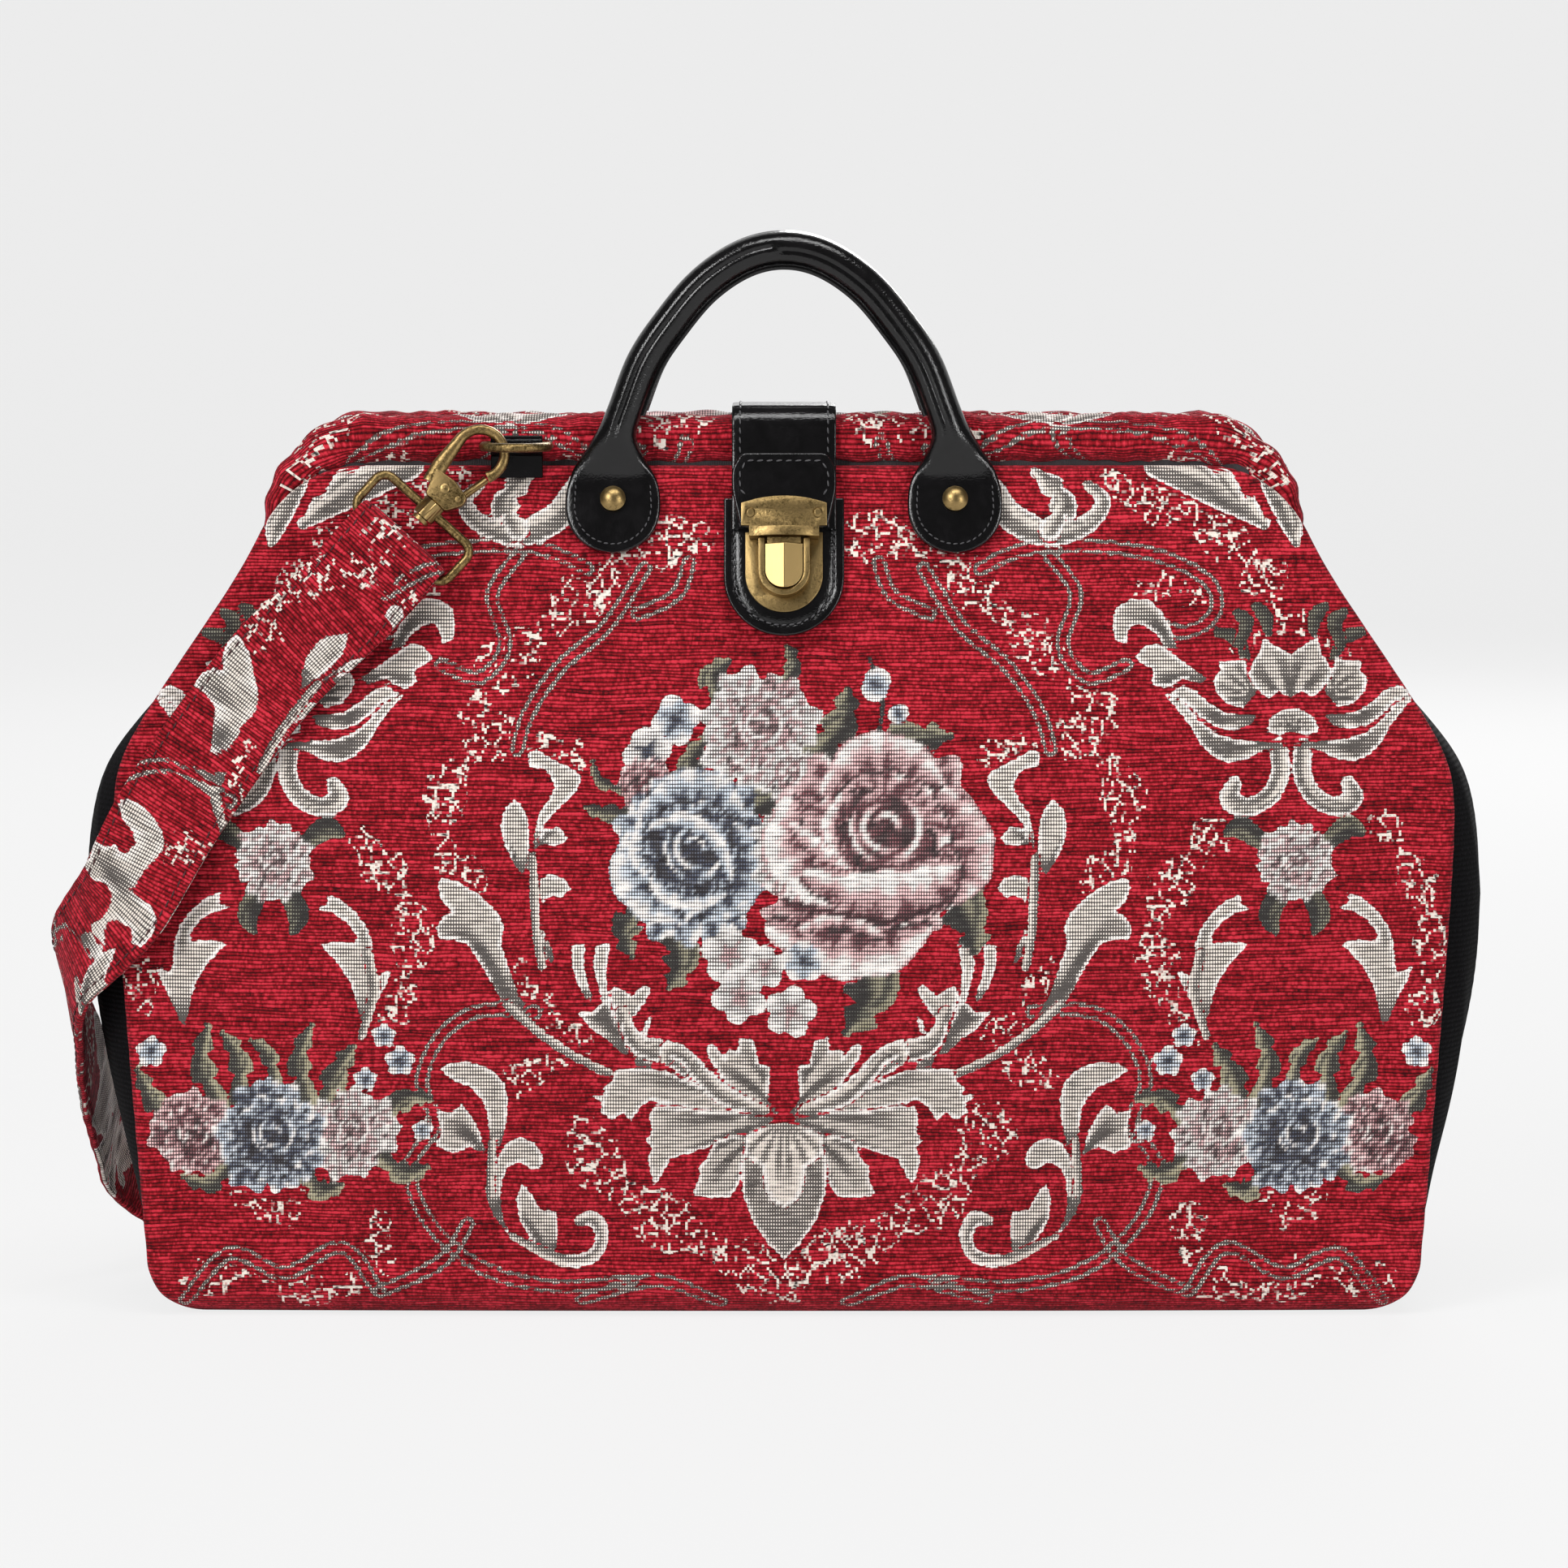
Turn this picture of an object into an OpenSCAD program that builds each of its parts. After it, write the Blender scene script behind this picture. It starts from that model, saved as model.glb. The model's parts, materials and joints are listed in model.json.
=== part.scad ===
// Laptop bag of tapestry with a hinged frame mouth, rolled handles, a lock strap and a shoulder strap.
// Millimetres, +Z up, front towards -Y, origin at the centre of the base on the floor.

/* [Body] */
// Widest width of the front and back panel, at the hips
panel_w = 424; // [412:1:436]
// Width of the panels just above their lower corners
base_w = 401; // [390:1:408]
// Width of the panels at the kink where the frame ends
neck_w = 335; // [329:1:341]
// Height of that kink
neck_z = 241; // [237:1:243]
// Height of the hips above the floor
hip_z = 174; // [166:1:182]
// Height of the seam between panel and casing
seam_z = 268; // [264:1:272]
// Depth of the bag over its base
base_d = 94; // [90:1:100]
// Extra outward swell of each panel at mid height
panel_bulge = 12; // [9:0.5:14]
// Thickness of the padded panels
panel_t = 5; // [4:0.5:6]
// Radius of the lower corners seen from the front
corner_r = 17; // [14:1:20]
// Extra outward swell of the gussets past the panel edges
gusset_bulge = 15; // [12:0.5:17]
// Thickness of the gusset and base fabric
gusset_t = 3; // [2.5:0.5:4]
// Thickness of the stiff board in the base
board_t = 3; // [2:0.5:4]
// Thickness of the padded laptop divider
divider_t = 7; // [5:0.5:8]

/* [Frame] */
// Diameter of the steel frame bars
bar_d = 5; // [4:0.5:6]
// Height of the casings above the seam
casing_h = 16; // [15:0.5:18]
// Depth of each casing
casing_d = 16.6; // [15.4:0.2:17.4]
// Radius of the frame corners along the bar
frame_r = 29; // [26:1:31]
// Height of the frame hinges inside the bag
pivot_z = 226; // [222:0.5:228]
// Diameter of the hinge pins
pin_d = 4; // [3:0.5:4.5]

/* [Handles] */
// Distance between the two tabs of a handle
tab_pitch = 108; // [100:1:116]
// Width of the handle tabs
tab_w = 30; // [26:1:32]
// Diameter of the rolled handle
handle_d = 11; // [9.5:0.5:12]
// Height of the handle top above the floor
handle_top = 342; // [334:1:350]
// Diameter of the dome rivets
rivet_d = 8; // [6:0.5:9]

/* [Closure] */
// Width of the closure strap
closure_w = 33; // [29:1:35]
// Thickness of the closure leather
leather_t = 2.2; // [1.8:0.1:2.6]
// Width of the leather patch under the lock
patch_w = 38; // [35:1:42]
// Width of the lock plate
lock_w = 24.5; // [23:0.5:27]
// Width of the push button
button_w = 11.9; // [10.5:0.1:12.5]
// Height of the push button
button_h = 14.3; // [13:0.1:14.6]

/* [Shoulder strap] */
// Width of the shoulder strap
strap_w = 34; // [30:1:36]
// Thickness of the shoulder strap
strap_t = 3.4; // [2.8:0.1:3.6]
// Diameter of the ring and loop wire
wire_d = 2.9; // [2.4:0.1:3.2]
// Distance of the strap rings from the middle of the bag
ring_x = 84.5; // [80:0.5:88]

/* [Hidden] */
$fn = 48;
gap = 0.3;
fit = 0.1;
hip_round = 10;
neck_round = 5;
shoulder_r = 34;
foot_r = 11;
crown = 2.6;
seam_d = 36;
edge_base_d = 90;
edge_seam_d = 36;
seam_t = 2;
bell_top = 200;
rows = 18;
cols = 20;
// Frame
casing_z = seam_z + gap + casing_h / 2;
casing_y = casing_d / 2 + 0.5;
pivot_x = neck_w / 2 - 7;
corner_x = pivot_x - frame_r;
corner_z = casing_z - frame_r;
eye_d = pin_d + 5;
eye_t = 3;
plate_t = 2;
casing_foot = pivot_z + eye_d / 2 + 0.6;
// Lock, placed on a plane that leans with the panel
lock_z = 236;
// Strap hardware
ring_y = casing_y + casing_d / 2 + 3.4;
ring_z = 274.5;
ring_leg = 10.2;
ring_corner = 1.7;
swing = -10;
hook_turn = 42;
hook_r = 1.45;
eye_r = 7.8;
eye_u = 16;
hook_at = [-ring_x - 22, -ring_y - 7, 259];
loop_in = strap_w / 2 + 0.7;
loop_u = -23;

// Shape of the body

function soft_min(a, b, k) = (a + b - sqrt((a - b) * (a - b) + k * k)) / 2;
function soft_max(a, b, k) = (a + b + sqrt((a - b) * (a - b) + k * k)) / 2;
function corner_in(r, d) = d >= r ? 0 : r - sqrt(max(0, r * r - (r - d) * (r - d)));
function hip_half() = panel_w / 2 + 0.3 * hip_round;
function lower_half(z) = base_w / 2 + (hip_half() - base_w / 2) * z / hip_z;
function upper_half(z) = hip_half() + (neck_w / 2 - hip_half()) * (z - hip_z) / (neck_z - hip_z);
function plain_half(z) =
    soft_max(soft_min(lower_half(z), upper_half(z), hip_round), neck_w / 2, neck_round);
function half_w(z) = plain_half(z) - corner_in(corner_r, z) - corner_in(shoulder_r, seam_z - z);
function mid_y(z) = base_d / 2 + (seam_d - base_d) / 2 * pow(z / seam_z, 1.8)
    + panel_bulge * sin(180 * z / seam_z) - corner_in(foot_r, z);
function edge_y(z) = edge_base_d / 2 + (edge_seam_d - edge_base_d) / 2 * pow(z / seam_z, 1.8)
    - corner_in(foot_r, z);
function face_y(x, z) = edge_y(z) + (mid_y(z) - edge_y(z)) * (1 - pow(min(1, abs(x) / half_w(z)), crown));
function pad_t(z) = z <= neck_z - 10 ? panel_t
    : max(seam_t, panel_t - (panel_t - seam_t) * (z - neck_z + 10) / 14);
function bell(z) = z >= bell_top ? 0 : sin(180 * pow(z / bell_top, 1.25));
function ease_z(i, n, lo, hi) = lo + (hi - lo) * (1 - cos(180 * i / n)) / 2;
function unit(v) = v / norm(v);
function flat(l) = [for (a = l) each a];

// Solids from rows of points

module shell(outer, inner) {
    n = len(outer);
    m = len(outer[0]);
    k = n * m;
    skin_out = [for (i = [0:n - 2], j = [0:m - 2]) let (a = i * m + j)
        each [[a, a + 1, a + m + 1], [a, a + m + 1, a + m]]];
    skin_in = [for (f = skin_out) [f[0] + k, f[2] + k, f[1] + k]];
    rim = concat([for (j = [0:m - 2]) j], [for (i = [0:n - 2]) i * m + m - 1],
        [for (j = [m - 1:-1:1]) (n - 1) * m + j], [for (i = [n - 1:-1:1]) i * m]);
    q = len(rim);
    edge = [for (i = [0:q - 1]) let (a = rim[i], b = rim[(i + 1) % q])
        each [[a, b + k, b], [a, a + k, b + k]]];
    polyhedron(concat(flat(outer), flat(inner)), concat(skin_out, skin_in, edge));
}

module loft(rings) {
    n = len(rings);
    m = len(rings[0]);
    side = [for (i = [0:n - 2], j = [0:m - 1]) let (a = i * m + j, b = i * m + (j + 1) % m)
        each [[a, b + m, b], [a, a + m, b + m]]];
    caps = [for (j = [1:m - 2]) each [[0, j, j + 1], [(n - 1) * m, (n - 1) * m + j + 1, (n - 1) * m + j]]];
    polyhedron(flat(rings), concat(side, caps));
}

module sleeve(outer, inner) {
    n = len(outer);
    m = len(outer[0]);
    k = n * m;
    side = [for (i = [0:n - 2], j = [0:m - 1]) let (a = i * m + j, b = i * m + (j + 1) % m)
        each [[a, b + m, b], [a, a + m, b + m]]];
    bore = [for (f = side) [f[0] + k, f[2] + k, f[1] + k]];
    ends = [for (j = [0:m - 1]) let (b = (j + 1) % m, e = (n - 1) * m)
        each [[j, b, b + k], [j, b + k, j + k], [e + j, e + b + k, e + b], [e + j, e + j + k, e + b + k]]];
    polyhedron(concat(flat(outer), flat(inner)), concat(side, bore, ends));
}

function knot(p, i) = p[max(0, min(len(p) - 1, i))];
function spline_at(p, i, t) =
    let (a = knot(p, i - 1), b = knot(p, i), c = knot(p, i + 1), d = knot(p, i + 2))
    0.5 * (2 * b + (c - a) * t + (2 * a - 5 * b + 4 * c - d) * t * t + (3 * b - a - 3 * c + d) * t * t * t);
function spline(p, n) = concat([for (i = [0:len(p) - 2], s = [0:n - 1]) spline_at(p, i, s / n)],
    [p[len(p) - 1]]);

// Body panels

function panel_grid(share) = [for (i = [0:rows]) let (z = ease_z(i, rows, 0, seam_z))
    [for (j = [0:cols]) let (x = half_w(z) * (2 * j / cols - 1)) [x, share * pad_t(z) - face_y(x, z), z]]];

module panel() {
    shell(panel_grid(0), panel_grid(1));
}

function gusset_y(z) = edge_y(z) - panel_t - gap;
function gusset_grid(inset) = [for (i = [0:14]) let (z = ease_z(i, 14, 0, neck_z - 5))
    [for (j = [0:8]) let (v = j / 4 - 1)
        [half_w(z) - 1 - inset + gusset_bulge * bell(z) * (1 - pow(abs(v), 3)), v * gusset_y(z), z]]];

module gusset() {
    shell(gusset_grid(0), gusset_grid(gusset_t));
}

module front_panel() {
    color("firebrick") panel();
}

module back_panel() {
    color("firebrick") rotate([0, 0, 180]) panel();
}

module right_gusset() {
    color("#1c1b1d") gusset();
}

module left_gusset() {
    color("#1c1b1d") rotate([0, 0, 180]) gusset();
}

function base_half_y() = edge_base_d / 2 - foot_r - panel_t - gap;
function base_half_x() = half_w(0) - 1 - gusset_t - gap;

module slab(x, y, z0, t) {
    translate([-x, -y, z0]) cube([2 * x, 2 * y, t]);
}

module base_panel() {
    color("#1c1b1d") slab(base_half_x(), base_half_y(), 0, gusset_t);
}

module base_board() {
    color("#6b5a48") slab(base_half_x(), base_half_y(), gusset_t + gap, board_t);
}

// Lining, a thin open bag inside the panels
lining_t = 1.2;
lining_gap = 1.2;
lining_z0 = gusset_t + board_t + 2 * gap;
lining_z1 = pivot_z - 10;

function lining_half(z, d) = half_w(z) - 1 - gusset_t - lining_gap - d;
function lining_front(z, d) = [for (j = [0:10]) let (x = lining_half(z, d) * (j / 5 - 1))
    [x, d + lining_gap + panel_t - face_y(x, z), z]];
function lining_ring(z, zs, d) = let (f = lining_front(zs, d))
    concat([for (p = f) [p[0], p[1], z]], [for (p = f) [-p[0], -p[1], z]]);

module lining() {
    n = 10;
    out = [for (i = [0:n]) let (z = ease_z(i, n, lining_z0, lining_z1)) lining_ring(z, z, 0)];
    inn = [for (i = [0:n]) let (z = ease_z(i, n, lining_z0, lining_z1), zi = max(z, lining_z0 + lining_t))
        lining_ring(zi, z, lining_t)];
    m = len(out[0]);
    k = (n + 1) * m;
    side = [for (i = [0:n - 1], j = [0:m - 1]) let (a = i * m + j, b = i * m + (j + 1) % m)
        each [[a, b + m, b], [a, a + m, b + m]]];
    bore = [for (f = side) [f[0] + k, f[2] + k, f[1] + k]];
    floors = [for (j = [1:m - 2]) each [[0, j, j + 1], [k, k + j + 1, k + j]]];
    rim = [for (j = [0:m - 1]) let (b = (j + 1) % m, e = n * m)
        each [[e + j, e + b + k, e + b], [e + j, e + j + k, e + b + k]]];
    color("#2a2628") polyhedron(concat(flat(out), flat(inn)), concat(side, bore, floors, rim));
}

divider_z0 = lining_z0 + lining_t + gap;
divider_z1 = pivot_z - 26;
divider_y = 3;

module laptop_divider() {
    zs = [for (i = [0:8]) ease_z(i, 8, divider_z0, divider_z1)];
    right = [for (z = zs) [lining_half(z, lining_t) - lining_gap, z]];
    left = [for (i = [8:-1:0]) [-right[i][0], right[i][1]]];
    color("#2a2628") translate([0, divider_y + divider_t, 0]) rotate([90, 0, 0]) linear_extrude(divider_t)
        polygon(concat(right, left));
}

// Hinged frame

module across_x(x0, x1, d) {
    translate([x0, 0, 0]) rotate([0, 90, 0]) cylinder(h = x1 - x0, d = d);
}

module hinge_plate() {
    half = casing_y;
    translate([pivot_x - eye_t / 2 - gap - plate_t, 0, pivot_z]) rotate([90, 0, 90]) linear_extrude(plate_t)
        difference() {
            union() {
                square([2 * half, eye_d], center = true);
                for (s = [-1, 1]) translate([s * half, 0]) circle(d = eye_d);
            }
            for (s = [-1, 1]) translate([s * half, 0]) circle(d = pin_d + 2 * fit);
        }
}

module right_hinge_plate() {
    color("#8d8a84") hinge_plate();
}

module left_hinge_plate() {
    color("#8d8a84") rotate([0, 0, 180]) hinge_plate();
}

module hinge_pins() {
    x0 = pivot_x - eye_t / 2 - gap - plate_t;
    x1 = pivot_x + eye_t / 2;
    color("#a8a49c") for (a = [0, 180], s = [-1, 1]) rotate([0, 0, a])
        translate([0, s * casing_y, pivot_z]) {
            across_x(x0 - gap, x1 + gap, pin_d);
            across_x(x0 - gap - 1, x0 - gap, pin_d + 2.4);
            across_x(x1 + gap, x1 + gap + 1, pin_d + 2.4);
        }
}

module frame_bar() {
    translate([0, -casing_y, 0]) difference() {
        union() {
            translate([0, 0, casing_z]) across_x(-corner_x, corner_x, bar_d);
            for (s = [0, 1]) mirror([s, 0, 0]) {
                translate([corner_x, 0, corner_z]) rotate([90, 0, 0]) rotate_extrude(angle = 90)
                    translate([frame_r, 0]) circle(d = bar_d);
                translate([pivot_x, 0, pivot_z]) cylinder(h = corner_z - pivot_z, d = bar_d);
                translate([0, 0, pivot_z]) across_x(pivot_x - eye_t / 2, pivot_x + eye_t / 2, eye_d);
            }
        }
        for (s = [-1, 1]) translate([s * pivot_x, 0, pivot_z]) {
            across_x(-eye_t, eye_t, pin_d + 2 * fit);
            across_x(-eye_t, -eye_t / 2, eye_d + 4 * gap);
            across_x(eye_t / 2, eye_t, eye_d + 4 * gap);
        }
    }
}

module front_frame_bar() {
    color("#8d8a84") frame_bar();
}

module back_frame_bar() {
    color("#8d8a84") rotate([0, 0, 180]) frame_bar();
}

// Stations along the frame as x, z, direction of the outer side and share of full size
leg_n = 5;
function casing_half() = concat([[pivot_x, casing_foot, 0, 0]],
    [for (i = [0:leg_n]) let (a = 90 * i / leg_n)
        [corner_x + frame_r * cos(a), corner_z + frame_r * sin(a), a, sin(a) * sin(a)]]);
function casing_path() = let (h = casing_half(), n = len(h)) concat(h,
    [for (t = [0.5, 0, -0.5]) [t * corner_x, casing_z, 90, 1]],
    [for (i = [n - 1:-1:0]) [-h[i][0], h[i][1], 180 - h[i][2], h[i][3]]]);
function swell(v, e) = sign(v) * pow(abs(v), e);
function casing_ring(p, sides) =
    let (rn = 5.6 + (casing_h / 2 - 5.6) * p[3], ry = 4.4 + (casing_d / 2 - 4.4) * p[3])
    [for (i = [0:sides - 1]) let (t = 360 * (i + 0.5) / sides,
            n = rn * swell(cos(t), 0.62), y = ry * swell(sin(t), 0.62))
        [p[0] + n * cos(p[2]), y - casing_y, p[1] + n * sin(p[2])]];
function bore_ring(p, sides) = let (r = (bar_d / 2 + gap) / cos(180 / sides))
    [for (i = [0:sides - 1]) let (t = 360 * (i + 0.5) / sides)
        [p[0] + r * cos(t) * cos(p[2]), r * sin(t) - casing_y, p[1] + r * cos(t) * sin(p[2])]];

module casing() {
    path = casing_path();
    sleeve([for (p = path) casing_ring(p, 12)], [for (p = path) bore_ring(p, 12)]);
}

module front_casing() {
    color("#8e1f2c") casing();
}

module back_casing() {
    color("#8e1f2c") rotate([0, 0, 180]) casing();
}

// Rolled handles with flat tabs, stations as x, y, z, width, thickness
tab_z = seam_z - 27;
handle_y = casing_y + casing_d / 2 + handle_d / 2 + 0.6;
rivet_z = seam_z - 10;
function tab_out(z) = face_y(tab_pitch / 2, z) + 2.6;
function handle_half() = let (x = tab_pitch / 2, c = handle_top - handle_d / 2, d = handle_d) [
    [x, -tab_out(tab_z) - 0.2, tab_z, 2, 2.6],
    [x, -tab_out(tab_z + 2), tab_z + 2, 0.52 * tab_w, 3.4],
    [x, -tab_out(tab_z + 6), tab_z + 6, 0.82 * tab_w, 3.9],
    [x, -tab_out(tab_z + 13), tab_z + 13, tab_w, 4.2],
    [x, -tab_out(tab_z + 20), tab_z + 20, 0.97 * tab_w, 4.2],
    [x, -tab_out(tab_z + 26) - 1.2, tab_z + 26, 0.84 * tab_w, 5],
    [x - 0.6, -handle_y + 0.3, seam_z + 6, 0.54 * tab_w, 0.85 * d],
    [x - 1.8, -handle_y, seam_z + 12, d + 0.8, d],
    [x - 3.9, -handle_y, seam_z + 18, d, d],
    [x - 9.5, -handle_y + 0.8, c - 36, d, d],
    [x - 17, -handle_y + 1.6, c - 24.5, d, d],
    [x - 28, -handle_y + 2.6, c - 11.5, d, d],
    [x - 41, -handle_y + 3.2, c - 2.8, d, d],
    [0, -handle_y + 3.4, c, d, d]];
function handle_path() = let (h = handle_half(), n = len(h))
    concat(h, [for (i = [n - 2:-1:0]) [-h[i][0], h[i][1], h[i][2], h[i][3], h[i][4]]]);
function at3(p) = [p[0], p[1], p[2]];
function handle_ring(p, i, sides) = let (q = len(p) - 1, c = at3(p[i]),
        t = unit(at3(p[min(q, i + 1)]) - at3(p[max(0, i - 1)])),
        n = unit([0, -1, 0] - t * (t * [0, -1, 0])), b = cross(n, t))
    [for (j = [0:sides - 1]) let (a = 360 * (j + 0.5) / sides)
        c + b * (p[i][3] / 2 * cos(a)) + n * (p[i][4] / 2 * sin(a))];

module handle() {
    path = spline(handle_path(), 2);
    loft([for (i = [0:len(path) - 1]) handle_ring(path, i, 12)]);
}

module handle_rivets() {
    for (s = [-1, 1]) translate([s * tab_pitch / 2, -tab_out(rivet_z) - 2.4, rivet_z])
        rotate([90 - atan((tab_out(rivet_z - 4) - tab_out(rivet_z + 4)) / 8), 0, 0]) {
            cylinder(h = 0.8, d = rivet_d);
            translate([0, 0, 0.8]) intersection() {
                translate([0, 0, -rivet_d * 0.4]) sphere(d = rivet_d * 1.28);
                cylinder(h = rivet_d, d = rivet_d);
            }
        }
}

module front_handle() {
    color("#171416") handle();
}

module back_handle() {
    color("#171416") rotate([0, 0, 180]) handle();
}

module front_handle_rivets() {
    color("#9a7a3c") handle_rivets();
}

module back_handle_rivets() {
    color("#9a7a3c") rotate([0, 0, 180]) handle_rivets();
}

// Closure strap as a bent band, then the lock

lock_lean = atan((mid_y(lock_z - 20) - mid_y(lock_z + 20)) / 40);

module on_lock(n) {
    translate([0, -mid_y(lock_z), lock_z]) rotate([-lock_lean, 0, 0]) translate([0, -n, 0]) children();
}

module plate(t) {
    rotate([90, 0, 0]) linear_extrude(t) children();
}

module tongue_shape(w, top, low) {
    translate([-w / 2, low + w / 2]) square([w, top - low - w / 2]);
    translate([0, low + w / 2]) circle(d = w);
}

patch_n = 0.4;
plate_n = patch_n + leather_t + fit;
plate_h = 1.4;
rim_n = plate_n + plate_h + 0.05;
rim_h = 4.2;
button_n = plate_n + 2.6;
strap_n = patch_n + leather_t + gap;
tab_n = strap_n + leather_t + fit;
strike_n = tab_n + leather_t + fit;
rim_w = button_w + 4.4;
button_top = 6.2;

function lock_yz(s, n) = [-mid_y(lock_z) + s * sin(lock_lean) - n * cos(lock_lean),
    lock_z + s * cos(lock_lean) + n * sin(lock_lean)];
top_y = casing_y + casing_d / 2 + leather_t / 2 + 0.6;
top_z = casing_z + casing_h / 2 + leather_t / 2 + 0.6;
bend_r = 7;
function arc_yz(cy, cz, a) = [cy + bend_r * cos(a), cz + bend_r * sin(a)];
function closure_line() =
    let (n = strap_n + leather_t / 2, b = -mid_y(seam_z - 4) - leather_t / 2 - gap) concat(
    [lock_yz(11.8, n), lock_yz(22, n)],
    [[-top_y - 1.6, seam_z + 3]],
    [for (i = [0:6]) arc_yz(bend_r - top_y, top_z - bend_r, 180 - 15 * i)],
    [for (i = [0:6]) arc_yz(top_y - bend_r, top_z - bend_r, 90 - 15 * i)],
    [[top_y, seam_z + 3], [-b, seam_z - 4]]);
function side_of(p, i, d) =
    let (q = len(p) - 1, t = unit(p[min(q, i + 1)] - p[max(0, i - 1)])) p[i] + d * [-t[1], t[0]];

module closure_strap() {
    p = closure_line();
    q = len(p) - 1;
    band = concat([for (i = [0:q]) side_of(p, i, leather_t / 2)],
        [for (i = [q:-1:0]) side_of(p, i, -leather_t / 2)]);
    color("#171416") translate([-closure_w / 2, 0, 0]) rotate([90, 0, 90])
        linear_extrude(closure_w) polygon(band);
}

strike_rivet_d = 2.4;
strike_rivet_x = 10.6;
strike_rivet_s = 16.2;

module strike_holes() {
    for (s = [-1, 1]) translate([s * strike_rivet_x, strike_rivet_s]) circle(d = strike_rivet_d + 2 * fit);
}

module closure_tab() {
    h = closure_w / 2;
    color("#1d191b") on_lock(tab_n) plate(leather_t) difference() {
        polygon([[-13.8, 11.8], [13.8, 11.8], [h, 24], [h, 30.5],
            [h - 3, 36], [3 - h, 36], [-h, 30.5], [-h, 24]]);
        strike_holes();
    }
}

module strike_plate() {
    rim_s = 8.6;
    color("#96783c") {
        on_lock(strike_n) plate(1.5) difference() {
            intersection() {
                translate([-13.5, 12]) square([27, 9.6]);
                translate([0, -18]) circle(r = 39.6, $fn = 96);
            }
            strike_holes();
        }
        on_lock(plate_n + plate_h + gap) plate(strike_n + 1.5 - plate_n - plate_h - gap)
            translate([-11, rim_s]) square([22, 11.6 - rim_s]);
        on_lock(strike_n) plate(1.5) translate([-11, 11]) square([22, 2]);
        on_lock(strike_n + 1.5) intersection() {
            plate(2) translate([-11, rim_s]) square([22, 3]);
            translate([0, 24.6, rim_s - 1]) cylinder(h = 6, r = 26.4, $fn = 96);
        }
        on_lock(rim_n + 0.8) plate(2.2) translate([-button_w / 2 + 0.6, button_top + 0.4])
            square([button_w - 1.2, rim_s - button_top]);
    }
}

module strike_rivets() {
    color("#b4965a") on_lock(strike_n) for (s = [-1, 1])
        translate([s * strike_rivet_x, 0, strike_rivet_s]) rotate([90, 0, 0]) {
            translate([0, 0, -leather_t]) cylinder(h = leather_t + 1.6, d = strike_rivet_d);
            translate([0, 0, 1.6]) cylinder(h = 0.6, d1 = strike_rivet_d + 0.8, d2 = strike_rivet_d - 0.4);
        }
}

module lock_patch() {
    color("#171416") on_lock(patch_n) plate(leather_t) tongue_shape(patch_w, 22.4, -22);
}

module lock_plate() {
    color("#8a6d36") on_lock(plate_n) plate(plate_h) difference() {
        tongue_shape(lock_w, 11, -14.8);
        tongue_shape(button_w + 0.4, button_top + 0.2, button_top - button_h - 0.2);
    }
}

module lock_housing() {
    color("#96783c") on_lock(rim_n) plate(rim_h) difference() {
        tongue_shape(rim_w, 8.2, button_top - button_h - 2.2);
        tongue_shape(button_w + 0.4, 9, button_top - button_h - 0.2);
    }
}

module lock_button() {
    w = button_w / 2;
    color("#b4965a") on_lock(button_n) intersection() {
        plate(8) tongue_shape(button_w, button_top, button_top - button_h);
        translate([0, 0, -20]) linear_extrude(40) polygon([[-w, 0], [-w, -3], [0, -4.6], [w, -3], [w, 0]]);
    }
}

// Strap rings and snap hooks

module turned(a) {
    rotate([0, 0, a]) children();
}

module ring_loop() {
    r = wire_d / 2 + fit;
    w = 2 * (ring_leg - ring_corner - gap);
    translate([-ring_x - w / 2, -ring_y, ring_z]) rotate([90, 0, 90]) linear_extrude(w) difference() {
        union() {
            circle(r = r + 1.7);
            translate([-0.4, -10.2]) square([r + 2.1, 10.2]);
        }
        circle(r = r);
        translate([1.3, -11]) square([4, 6.6]);
    }
}

module bent(r, a0, a1) {
    rotate([0, 0, a0]) rotate_extrude(angle = a1 - a0) translate([r, 0]) circle(d = wire_d);
}

module ring() {
    b = ring_leg - ring_corner;
    leg = 4.3;
    translate([-ring_x, -ring_y, ring_z]) {
        across_x(-b, b, wire_d);
        for (s = [0, 1]) mirror([s, 0, 0]) {
            translate([b, -ring_corner, 0]) bent(ring_corner, 0, 90);
            translate([ring_leg, -ring_corner, 0]) rotate([90, 0, 0]) cylinder(h = leg, d = wire_d);
        }
        translate([0, -ring_corner - leg, 0]) bent(ring_leg, 180, 360);
    }
}

module at_hook() {
    translate([0, -ring_y, ring_z]) rotate([swing, 0, 0]) translate(hook_at - [0, -ring_y, ring_z])
        rotate([0, hook_turn, 0]) children();
}

gate_at = [4.8, 0.6];
gate_d = 2;
gate_lean = atan((eye_r * cos(20) - gate_at[0]) / (eye_u - eye_r * sin(20) - gate_at[1]));
gate_len = norm([eye_r * cos(20) - gate_at[0], eye_u - eye_r * sin(20) - gate_at[1]]) - hook_r - 0.5;
leg_turn = 188.9;

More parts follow.
